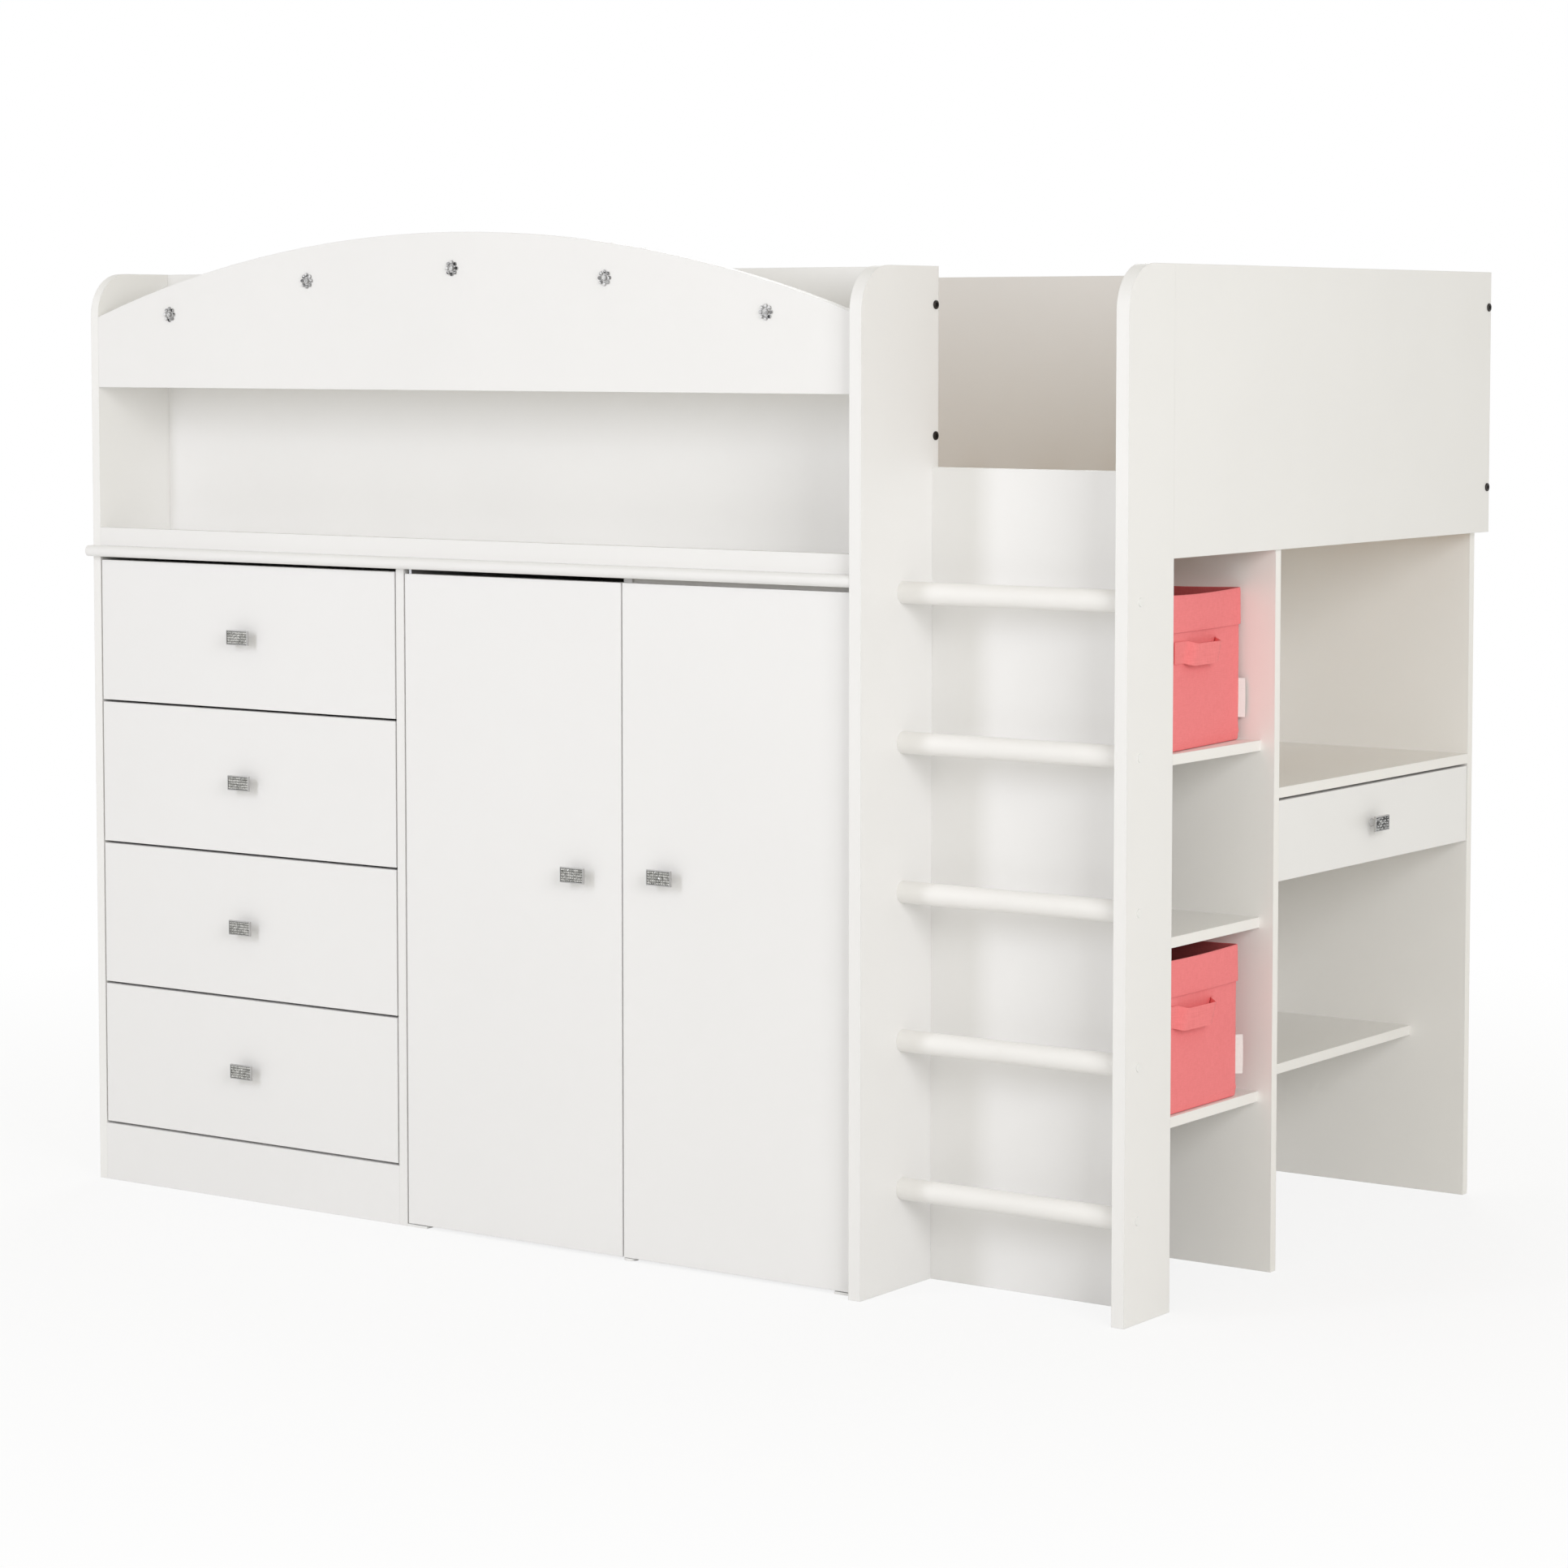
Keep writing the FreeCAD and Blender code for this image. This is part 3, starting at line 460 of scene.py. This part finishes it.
def makeCloth(name):
    c, n = cloths[name], clothNap
    finish, tree, inputs = newFinish(name, Sheen_Weight=n["sheen"], Sheen_Roughness=n["sheenSpread"],
                                     Specular_IOR_Level=n["shine"])
    weave = placeGroup(tree, clothWeave, {"Thread": c["thread"], "Shade": c["shade"], "Pitch": c["pitch"],
                                          "Slub": c["slub"]})
    feed(tree, inputs, weave, n["relief"], c["depth"])
    return finish


finishes = {}
for make, names in ((makeWhite, whiteBoards), (makePine, grainAlong), (makeMetal, metals),
                    (makeStone, stones), (makeCloth, cloths)):
    finishes.update({name: make(name) for name in names})
print("finishes made:", len(finishes))


# every node of the frame gets its finish, by its name or by the end of its name
finishOf = {
    "frontFacing": ("left_door", "right_door", "plinths", "_front"),
    # the boards of the open bays and the niche take the brighter white copies: painted light
    "bayFacingPaintedLight": ("bay_divider", "bay_shelves", "desk_end_panel", "desk_rear_panel", "desk_top",
                  "desk_lower_shelf"),
    "nicheFacingPaintedLight": ("left_end_panel", "niche_back_panel"),
    "rungLacquer": tuple(f"ladder_rung_{number}" for number in range(1, 6)),
    "linerFacing": ("back_boards", "wardrobe_shelves", "_box"),
    "mouldedWhite": ("screw_caps", "pivot_bushes", "rail_sockets", "floor_glides", "runner_strips"),
    "slatPine": ("bed_slats",),
    "ledgerPine": ("slat_ledgers",),
    "zincSteel": ("hanging_rail", "_pins"),
    "castSilver": ("flower_studs", "_knob"),
    "blackSteel": ("frame_bolts",),
    "coralCloth": ("_bin",),
}


def finishFor(label):
    return next((finish for finish, ends in finishOf.items() if label.endswith(ends)), "carcassFacing")


for label, node in nodes.items():
    dress(node, finishes[finishFor(label)])
print("frame dressed")


# knobs: a cast plate with a tray of cut stones, on a waisted stem; modelled facing -Y from a face at y = 0
knobCast = {"width": 0.046, "height": 0.024, "thick": 0.004, "standOff": 0.016, "round": 0.0007,
            "rim": 0.0010, "tray": 0.0010, "play": 0.0001, "columns": 10, "rows": 5, "groove": 0.00024,
            "crown": 0.0009, "rise": 0.0011, "tilt": 0.00040, "seed": 5, "stem": 0.007, "bite": 0.001,
            "waist": 0.72, "waistAt": (0.3, 0.7), "waistBand": (0.2, 0.8), "smooth": 50}


def modelPlate():
    k = knobCast
    clearSelection()
    bpy.ops.mesh.primitive_cube_add(size=1, location=(0, -k["standOff"] - k["thick"] / 2, 0),
                                    scale=(k["width"], k["thick"], k["height"]))
    plate = named("knobPlate")
    settle()
    pickAll()
    bpy.ops.mesh.bevel(offset=k["round"], segments=2, affect="EDGES")
    pick(plate, "polygons", lambda face: face.normal.y < -squareOn)
    bpy.ops.mesh.inset(thickness=k["rim"])
    bpy.ops.mesh.extrude_region_move(TRANSFORM_OT_translate={"value": (0, k["tray"], 0)})
    bpy.ops.object.mode_set(mode="OBJECT")
    dress(plate, finishes["castSilver"])
    return plate


# stones stand in the tray, each with a dark groove round it
def modelPavement():
    k = knobCast
    clearSelection()
    inner = k["rim"] + k["round"] + k["play"]
    bpy.ops.mesh.primitive_grid_add(x_subdivisions=k["columns"], y_subdivisions=k["rows"], size=1,
                                    location=(0, -k["standOff"] - k["thick"] + k["tray"] - k["play"], 0),
                                    rotation=facingY)
    pavement = named("knobStones")
    settle()
    pickAll()
    bpy.ops.transform.resize(value=(k["width"] - 2 * inner, 1, k["height"] - 2 * inner),
                             center_override=(0, 0, 0))
    bpy.context.tool_settings.mesh_select_mode = (False, False, True)
    bpy.ops.mesh.inset(thickness=k["groove"], use_individual=True)
    bpy.ops.object.mode_set(mode="OBJECT")
    dress(pavement, finishes["silverPatina"], finishes["pavedStone"])
    for face in pavement.data.polygons:
        face.material_index = 1 if face.select else 0
    bpy.ops.object.mode_set(mode="EDIT")
    bpy.ops.mesh.inset(thickness=k["crown"], depth=k["rise"], use_individual=True)
    bpy.ops.transform.vertex_random(offset=k["tilt"], seed=k["seed"])  # no two stones are set quite alike
    bpy.ops.mesh.select_all(action="DESELECT")
    bpy.context.tool_settings.mesh_select_mode = (False, True, False)
    bpy.ops.mesh.select_non_manifold(extend=False)
    bpy.ops.mesh.edge_face_add()  # closes the back
    bpy.ops.object.mode_set(mode="OBJECT")
    return pavement


def modelStem():
    k = knobCast
    clearSelection()
    long = k["standOff"] + k["bite"]
    bpy.ops.mesh.primitive_cylinder_add(vertices=32, radius=k["stem"], depth=long, location=(0, -long / 2, 0),
                                        rotation=facingY)
    stem = named("knobStem")
    settle()
    for share in k["waistAt"]:
        pickAll()
        bpy.ops.mesh.bisect(plane_co=(0, -k["standOff"] * share, 0), plane_no=(0, 1, 0))
    near, far = (-k["standOff"] * share for share in k["waistBand"])
    pick(stem, "vertices", lambda point: far < point.co.y < near)
    bpy.ops.transform.resize(value=(k["waist"], 1, k["waist"]), center_override=(0, -k["standOff"] / 2, 0))
    bpy.ops.object.mode_set(mode="OBJECT")
    dress(stem, finishes["castSilver"])
    smooth(stem, k["smooth"])
    return stem


def fitKnobs():
    pattern = joined("knobPattern", [modelPlate(), modelPavement(), modelStem()])
    bodies = [f"drawer_{number}" for number in range(1, 5)] + ["left_door", "right_door", "desk_drawer"]
    for body in bodies:
        label = body + "_knob"
        low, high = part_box(label)
        middle = (low + high) / 2
        knob = copyOf(pattern, label + "Cast")
        if body == "desk_drawer":  # looks along +X, and its stones take a darker, more contrasted copy of the painted reflections
            shift(knob, (low.x, middle.y, middle.z), math.radians(90))
            knob.data.materials[knob.data.materials.find("pavedStone")] = finishes["deskStoneDarkReflection"]
        else:
            shift(knob, (middle.x, high.y, middle.z))
        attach(knob, body)
        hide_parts(label)
    bpy.data.objects.remove(pattern)
    print("knobs fitted:", len(bodies))


fitKnobs()


# studs: eight small stones in collets round a larger one
# from table on, the values are shares of a stone's or a collet's own size
studFlower = {"heart": 0.0047, "petal": 0.0032, "ring": 0.0093, "petals": 8, "collet": 0.0018,
              "stone": 0.0042, "heartRise": 0.0012, "apart": 0.05, "table": 0.45, "lip": 0.16, "sink": 0.35,
              "seat": 0.6, "girdle": 0.84, "lowered": 0.55, "crown": ((0.55, 0.38), (0.45, 0.16))}


# one stone in its collet, facing -Y, with its middle at x
def modelStone(x, radius, stand, stoneFinish):
    s = studFlower
    wall, seat, girdle = s["collet"] + stand, s["collet"] * s["seat"], radius * s["girdle"]
    tall = s["stone"] - seat
    clearSelection()
    bpy.ops.mesh.primitive_cylinder_add(vertices=16, radius=radius, depth=wall, location=(x, -wall / 2, 0),
                                        rotation=facingY)
    collet = named("stoneCollet")
    settle()
    pick(collet, "polygons", lambda face: face.normal.y < -squareOn)
    bpy.ops.mesh.inset(thickness=radius * s["lip"])
    bpy.ops.mesh.extrude_region_move(TRANSFORM_OT_translate={"value": (0, s["collet"] * s["sink"], 0)})
    bpy.ops.object.mode_set(mode="OBJECT")
    dress(collet, finishes["castSilver"])
    clearSelection()
    bpy.ops.mesh.primitive_cylinder_add(vertices=8, radius=girdle, depth=tall, rotation=facingY,
                                        location=(x, -seat - stand - tall / 2, 0))
    stone = named("stoneCut")
    settle()
    pick(stone, "polygons", lambda face: face.normal.y < -squareOn)
    bpy.ops.transform.translate(value=(0, tall * s["lowered"], 0))
    for across, deep in s["crown"]:
        bpy.ops.mesh.inset(thickness=girdle * (1 - s["table"]) * across, depth=tall * deep)
    bpy.ops.object.mode_set(mode="OBJECT")
    dress(stone, finishes[stoneFinish])
    return joined("stoneSet", [collet, stone])


# where each stud of the frame stands on the guard, found from its points
def studPlaces():
    points = [point.co.copy() for point in nodes["flower_studs"].data.vertices]
    points.sort(key=lambda spot: spot.x)
    bunches = [[points[0]]]
    for point in points[1:]:
        if point.x - bunches[-1][-1].x > studFlower["apart"]:
            bunches.append([])
        bunches[-1].append(point)
    for bunch in bunches:
        x, y, z = ([spot[axis] for spot in bunch] for axis in range(3))
        yield (min(x) + max(x)) / 2, max(y), (min(z) + max(z)) / 2


def fitStuds():
    s = studFlower
    petal = modelStone(s["ring"], s["petal"], 0, "petalStone")
    pickAll()
    more = s["petals"] - 1
    bpy.ops.mesh.spin(steps=more, dupli=True, angle=math.tau * more / s["petals"],
                      center=(0, 0, 0), axis=(0, 1, 0))
    bpy.ops.object.mode_set(mode="OBJECT")
    heart = modelStone(0, s["heart"], s["heartRise"], "heartStone")
    pattern = joined("studPattern", [petal, heart])
    for number, place in enumerate(studPlaces(), start=1):
        stud = copyOf(pattern, f"flowerStud{number}")
        shift(stud, place)
        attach(stud, "frame")
        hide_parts("flower_studs")
    bpy.data.objects.remove(pattern)
    print("studs fitted:", number)


fitStuds()


# socket head bolts at the free edges of the guards, on faces that look along +X
boltHead = {"radius": 0.0066, "proud": 0.0021, "socket": 0.0036, "depth": 0.0014, "edge": 0.0007,
            "smooth": 30,
            "places": [(0.57825, -0.418, 1.461), (0.57825, -0.418, 1.267),
                       (0.98225, 0.606, 1.461), (0.98225, 0.606, 1.169)]}


def fitBolts():
    b = boltHead
    clearSelection()
    bpy.ops.mesh.primitive_cylinder_add(vertices=32, radius=b["radius"], depth=b["proud"],
                                        location=(b["proud"] / 2, 0, 0), rotation=facingX)
    pattern = named("boltPattern")
    settle()
    pick(pattern, "edges", lambda edge: all(spot.x > b["proud"] / 2 for spot in edgeEnds(pattern, edge)))
    bpy.ops.mesh.bevel(offset=b["edge"], segments=3, affect="EDGES")
    clearSelection()
    bpy.ops.mesh.primitive_cylinder_add(vertices=6, radius=b["socket"], depth=b["depth"] * 2,
                                        location=(b["proud"], 0, 0), rotation=facingX)
    key = named("boltKey")
    settle()
    applyModifier(pattern, "BOOLEAN", object=key, operation="DIFFERENCE")
    bpy.data.objects.remove(key)
    dress(pattern, finishes["blackSteel"])
    smooth(pattern, b["smooth"])
    for number, place in enumerate(b["places"], start=1):
        bolt = copyOf(pattern, f"socketBolt{number}")
        shift(bolt, place)
        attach(bolt, "frame")
        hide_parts("frame_bolts")
    bpy.data.objects.remove(pattern)
    print("bolts fitted:", len(b["places"]))


fitBolts()


# fabric bins: one cut of cloth makes the floor, the walls and the flap that folds over the mouth
fabricBin = {"clear": 0.002, "corner": 0.005, "foot": 0.003, "cloth": 0.0012, "cell": 0.023, "rows": 10,
             "flap": 0.054, "flapRows": 6, "fold": 0.0012, "gap": 0.0010, "flare": 0.0004,
             "foldSteps": ((1, 0.2), (0.3, 0.4), (-1, 0.4)),  # shares of the fold and of the gap
             "seam": 0.014, "seamHalf": 0.003, "seamDepth": 0.0016, "seamWidth": 0.0022,
             "belly": 0.0024, "bellyLow": 0.85, "mouthShare": 0.15, "sag": 0.0022, "sagFrom": 0.55,
             "ripple": 0.0008, "waves": ((13, 11, 1.0), (34, 20, 0.45)), "stiffFoot": 4, "cornerHold": 10,
             "near": 0.0005, "inward": 0.05, "floorUp": 0.7, "smooth": 60}
rippleAt = {"upper_bin": 0.0, "lower_bin": 4.7}  # where each bin reads its ripples, so that the two differ
askew = {"slope": 0.0875, "back": 0.025, "aside": 0.045}  # how the upper bin stands on its shelf


# how far a wall is pushed out: across runs from -1 to 1 along the wall, high from 0 (foot) to 1 (mouth)
def pushed(across, high):
    b = fabricBin
    middle = math.sin(math.pi * min(max(high, 0), 1) ** b["bellyLow"])
    profile = middle * (1 - b["mouthShare"]) + b["mouthShare"] * high
    return b["belly"] * max(0.0, 1 - across * across) * profile


def rippled(label, spot, tall):
    b = fabricBin
    total = 0.0
    for level, upright, share in b["waves"]:
        read = Vector((spot.x * level, spot.y * level, spot.z * upright + rippleAt[label]))
        total += share * noise.noise(read)
    return total * b["ripple"] * min(1.0, tall * b["stiffFoot"])


# an open box with eased corners, cut into cells, and the flap: out over the mouth, then down outside the wall
def cutSack(label, low, high):
    b = fabricBin
    size, centre = high - low, (low + high) / 2
    clearSelection()
    bpy.ops.mesh.primitive_cube_add(size=1, location=centre, scale=size)
    sack = named(label + "Sack")
    settle()
    pick(sack, "polygons", lambda face: face.normal.z > squareOn)
    bpy.ops.mesh.delete(type="FACE")
    pick(sack, "edges", lambda edge: abs(edgeEnds(sack, edge)[0].z - edgeEnds(sack, edge)[1].z) > b["near"])
    bpy.ops.mesh.bevel(offset=b["corner"], segments=3, affect="EDGES")
    pick(sack, "edges", lambda edge: all(spot.z < low.z + b["near"] for spot in edgeEnds(sack, edge)))
    bpy.ops.mesh.bevel(offset=b["foot"], segments=2, affect="EDGES")
    rows = [b["seam"] + side for side in (-b["seamHalf"], 0, b["seamHalf"])]
    rows += [rows[-1] + (size.z - b["seam"]) * step / b["rows"] for step in range(1, b["rows"])]
    cuts = [((0, 0, low.z + row), (0, 0, 1)) for row in rows]
    for axis in (0, 1):
        count = round(size[axis] / b["cell"])
        for step in range(1, count):
            spot, normal = [0, 0, 0], [0, 0, 0]
            spot[axis], normal[axis] = low[axis] + size[axis] * step / count, 1
            cuts.append((spot, normal))
    for spot, normal in cuts:
        pickAll()
        bpy.ops.mesh.bisect(plane_co=spot, plane_no=normal)
    pick(sack, "edges", lambda edge: all(spot.z > high.z - b["near"] for spot in edgeEnds(sack, edge)))
    steps = [(b["fold"] * up, b["gap"] * out) for up, out in b["foldSteps"]]
    steps += [(-b["flap"] / b["flapRows"], b["flare"] / b["flapRows"])] * b["flapRows"]
    for rise, grow in steps:
        bpy.ops.mesh.extrude_region_move(TRANSFORM_OT_translate={"value": (0, 0, rise)})
        bpy.ops.transform.resize(value=(1 + 2 * grow / size.x, 1 + 2 * grow / size.y, 1),
                                 center_override=centre)
    bpy.ops.object.mode_set(mode="OBJECT")
    return sack


# the cloth gives: walls belly out, the mouth sags between its corners, and nothing is quite flat
def slacken(sack, label, low, high):
    b = fabricBin
    size, centre = high - low, (low + high) / 2
    for point in sack.data.vertices:
        along, across = (point.co.x - centre.x) * 2 / size.x, (point.co.y - centre.y) * 2 / size.y
        tall = (point.co.z - low.z) / size.z
        onEnd, onSide = (min(1.0, abs(share) ** b["cornerHold"]) for share in (along, across))
        groove = b["seamDepth"] * math.exp(-((point.co.z - low.z - b["seam"]) / b["seamWidth"]) ** 2)
        give = rippled(label, point.co, tall) - groove
        dip = b["sag"] * (onEnd * max(0, 1 - across * across) + onSide * max(0, 1 - along * along))
        point.co.x += math.copysign(pushed(across, tall) + give, along) * onEnd
        point.co.y += math.copysign(pushed(along, tall) + give, across) * onSide
        point.co.z -= dip * min(1.0, max(0.0, (tall - b["sagFrom"]) / (1 - b["sagFrom"]))) ** 2


def modelSack(label):
    b = fabricBin
    low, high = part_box("lower_bin")  # both are cut alike, the upper one at the place of the lower one
    foot, mouth = (corner.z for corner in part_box(label))
    low = Vector((low.x + b["clear"], low.y + b["clear"], foot))
    high = Vector((high.x - 2 * b["clear"], high.y - b["clear"], mouth))
    centre = (low + high) / 2
    sack = cutSack(label, low, high)
    slacken(sack, label, low, high)
    pickAll()
    bpy.ops.mesh.normals_make_consistent(inside=False)
    bpy.ops.object.mode_set(mode="OBJECT")
    if min(sack.data.polygons, key=lambda face: face.center.z).normal.z > 0:  # the floor has to look down
        pickAll()
        bpy.ops.mesh.flip_normals()
    applyModifier(sack, "SOLIDIFY", thickness=b["cloth"], offset=-1.0)
    applyModifier(sack, "SUBSURF", levels=1, render_levels=1)
    dress(sack, finishes["coralCloth"], finishes["coralClothInsideShade"])
    for face in sack.data.polygons:  # the darker inside copy of the cloth, painted shade, goes on the inner faces only
        inward = face.normal.x * (centre.x - face.center.x) + face.normal.y * (centre.y - face.center.y)
        floor = face.normal.z > b["floorUp"] and face.center.z < low.z + b["seam"]
        face.material_index = 1 if inward > b["inward"] or floor else 0
    smooth(sack, b["smooth"])
    return sack, low, high


# strap of the front: flat where it is sewn, standing off between, its lower edge first
# each bin's strap is shifted from the middle by its own measure
binStrap = {"length": 0.146, "height": 0.032, "thick": 0.0016, "cells": (6, 40), "proud": 0.0010,
            "bow": 0.013, "bowGrows": (0.75, 0.5), "drop": 0.013, "droop": 0.004, "rise": (0.22, 0.32),
            "fall": (0.82, 0.92), "twist": 0.09, "upper_bin": -0.038, "lower_bin": -0.027}


def eased(span, value):
    share = min(1.0, max(0.0, (value - span[0]) / (span[1] - span[0])))
    return share * share * (3 - 2 * share)


def modelStrap(label, low, high):
    s = binStrap
    centre = (low.y + high.y) / 2
    top = high.z - fabricBin["flap"] - s["drop"]
    clearSelection()
    bpy.ops.mesh.primitive_grid_add(x_subdivisions=s["cells"][0], y_subdivisions=s["cells"][1], size=1,
                                    rotation=facingX)
    strap = named(label + "Strap")
    settle()
    for point in strap.data.vertices:
        along = point.co.y + 0.5
        late = along - s["twist"] * point.co.z
        bow = eased(s["rise"], late) * (1 - eased(s["fall"], late))
        y = centre + s[label] + point.co.y * s["length"]
        z = top - s["height"] / 2 + point.co.z * s["height"] - s["droop"] * bow
        wall = high.x + pushed((y - centre) * 2 / (high.y - low.y), (z - low.z) / (high.z - low.z))
        point.co = (wall + s["proud"] + s["bow"] * bow * (s["bowGrows"][0] + s["bowGrows"][1] * along), y, z)
    dress(strap, finishes["coralWebbing"])
    applyModifier(strap, "SOLIDIFY", thickness=s["thick"], offset=1.0)
    smooth(strap, fabricBin["smooth"])
    return strap


# bare tape sewn in the corner seam; each bin's stands out ahead and to the side by its own measure
binTag = {"low": 0.034, "height": 0.059, "thick": 0.0006, "cells": 8, "sewn": 0.0016, "curl": 0.0006,
          "upper_bin": (0.0095, 0.0050), "lower_bin": (0.0085, 0.0075)}


def modelTag(label, low, high):
    t = binTag
    clearSelection()
    bpy.ops.mesh.primitive_grid_add(x_subdivisions=t["cells"], y_subdivisions=t["cells"], size=1,
                                    rotation=facingX)
    tag = named(label + "Tag")
    settle()
    ahead, beside = t[label]
    for point in tag.data.vertices:
        out, up = point.co.y + 0.5, point.co.z + 0.5
        curl = t["curl"] * math.sin(math.pi * up) * out
        point.co = (high.x - t["sewn"] + ahead * out + curl, high.y - t["sewn"] + beside * out,
                    low.z + t["low"] + t["height"] * up)
    dress(tag, finishes["whiteTape"])
    applyModifier(tag, "SOLIDIFY", thickness=t["thick"], offset=0.0)
    smooth(tag, fabricBin["smooth"])
    return tag


# turns a piece of the upper bin about the right front corner and moves it to where that bin stands
def setAskew(piece, corner):
    turn = math.atan(askew["slope"])
    spun = Vector((corner.x * math.cos(turn) - corner.y * math.sin(turn),
                   corner.x * math.sin(turn) + corner.y * math.cos(turn), corner.z))
    shift(piece, corner - spun + Vector((-askew["back"], askew["aside"], 0)), turn)


def fitBins():
    for label in ("upper_bin", "lower_bin"):
        sack, low, high = modelSack(label)
        strap, tag = modelStrap(label, low, high), modelTag(label, low, high)
        for piece in (sack, strap, tag):
            if label == "upper_bin":
                setAskew(piece, high)
            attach(piece, label)
        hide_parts(label)
        print("bin fitted:", label, len(sack.data.polygons), "faces")


fitBins()


# floor, sky and lamps; the floor glows white to the camera, and wholly so from the second glowFrom on
studio = {"floorSize": 40.0, "floorWhite": 0.86, "floorGlow": 0.82, "glowFrom": (1.2, 3.0),
          "skyLight": (1.0, 0.972, 0.875), "skyStrength": 0.592, "aim": (0, 0, 0.8)}
softboxes = {
    "frontSoftbox": {"turn": -15, "away": 4.0, "height": 2.05, "wide": 0.7, "tall": 2.0, "watts": 35,
                     "tint": (0.87, 0.89, 1.0)},
    "sideSoftbox": {"turn": 57, "away": 6.0, "height": 2.4, "wide": 2.4, "tall": 2.2, "watts": 110,
                    "tint": (0.975, 0.98, 1.0)},
    "rearSoftbox": {"turn": 205, "away": 6.0, "height": 2.6, "wide": 3.0, "tall": 3.0, "watts": 148,
                    "tint": (0.92, 0.945, 1.0)},
}


def seenByCamera(tree):
    path = addNode(tree, "ShaderNodeLightPath").outputs
    seen = maths(tree, "MAXIMUM", path["Is Camera Ray"], path["Is Glossy Ray"])
    return maths(tree, "MAXIMUM", seen, path["Is Transmission Ray"])


# shows the second shader by its share, and the first one otherwise
def mixToOutput(tree, share, first, second, output):
    both = addNode(tree, "ShaderNodeMixShader", {0: share, 1: first.outputs[0], 2: second.outputs[0]})
    addNode(tree, output, {"Surface": both.outputs[0]})


def layFloor():
    s = studio
    clearSelection()
    bpy.ops.mesh.primitive_plane_add(size=s["floorSize"], location=(0, 0, 0))
    floor = named("studioFloor")
    paint = bpy.data.materials.new("studioPaint")
    paint.use_nodes = True
    tree = paint.node_tree
    tree.nodes.clear()
    matt = addNode(tree, "ShaderNodeBsdfDiffuse", {"Color": (s["floorWhite"],) * 3 + (1,)})
    glow = addNode(tree, "ShaderNodeEmission", {"Color": (1, 1, 1, 1), "Strength": 1.0})
    away = addNode(tree, "ShaderNodeVectorMath", {0: objectPlace(tree)}, operation="LENGTH").outputs["Value"]
    whiteness = spread(tree, away, *s["glowFrom"], s["floorGlow"], 1.0)
    share = maths(tree, "MULTIPLY", seenByCamera(tree), whiteness)
    mixToOutput(tree, share, matt, glow, "ShaderNodeOutputMaterial")
    dress(floor, paint)


def lightSky():
    s = studio
    world = bpy.data.worlds.new("studioSky")
    bpy.context.scene.world = world
    world.use_nodes = True
    tree = world.node_tree
    tree.nodes.clear()
    light = addNode(tree, "ShaderNodeBackground", {"Color": (*s["skyLight"], 1),
                                                   "Strength": s["skyStrength"]})
    white = addNode(tree, "ShaderNodeBackground", {"Color": (1, 1, 1, 1), "Strength": 1.0})
    mixToOutput(tree, seenByCamera(tree), light, white, "ShaderNodeOutputWorld")


def hangLamps():
    for name, lamp in softboxes.items():
        clearSelection()
        angle = math.radians(lamp["turn"])
        spot = Vector((math.sin(angle) * lamp["away"], -math.cos(angle) * lamp["away"], lamp["height"]))
        bpy.ops.object.light_add(type="AREA", location=spot)
        box = named(name)
        box.data.shape, box.data.size, box.data.size_y = "RECTANGLE", lamp["wide"], lamp["tall"]
        box.data.energy, box.data.color = lamp["watts"], lamp["tint"]
        box.rotation_euler = (Vector(studio["aim"]) - spot).to_track_quat("-Z", "Y").to_euler()


layFloor()
lightSky()
hangLamps()
print("studio lit")


# the picture's camera: level enough that uprights stay upright, with a little shift for the framing
pictureCamera = {"spot": (4.00088, -5.65277, 1.41363), "yaw": 35.2369, "pitch": 3.9523, "lens": 96.535,
                 "sensor": 36.0, "shift": -0.10, "clip": (0.1, 100)}


def placeCamera():
    c = pictureCamera
    clearSelection()
    bpy.ops.object.camera_add(location=c["spot"],
                              rotation=(math.radians(90 - c["pitch"]), 0, math.radians(c["yaw"])))
    camera = named("pictureCamera")
    camera.data.sensor_width, camera.data.lens, camera.data.shift_y = c["sensor"], c["lens"], c["shift"]
    camera.data.clip_start, camera.data.clip_end = c["clip"]
    bpy.context.scene.camera = camera
    bpy.context.scene.view_settings.view_transform = "Standard"
    print("camera placed")


placeCamera()
clearSelection()
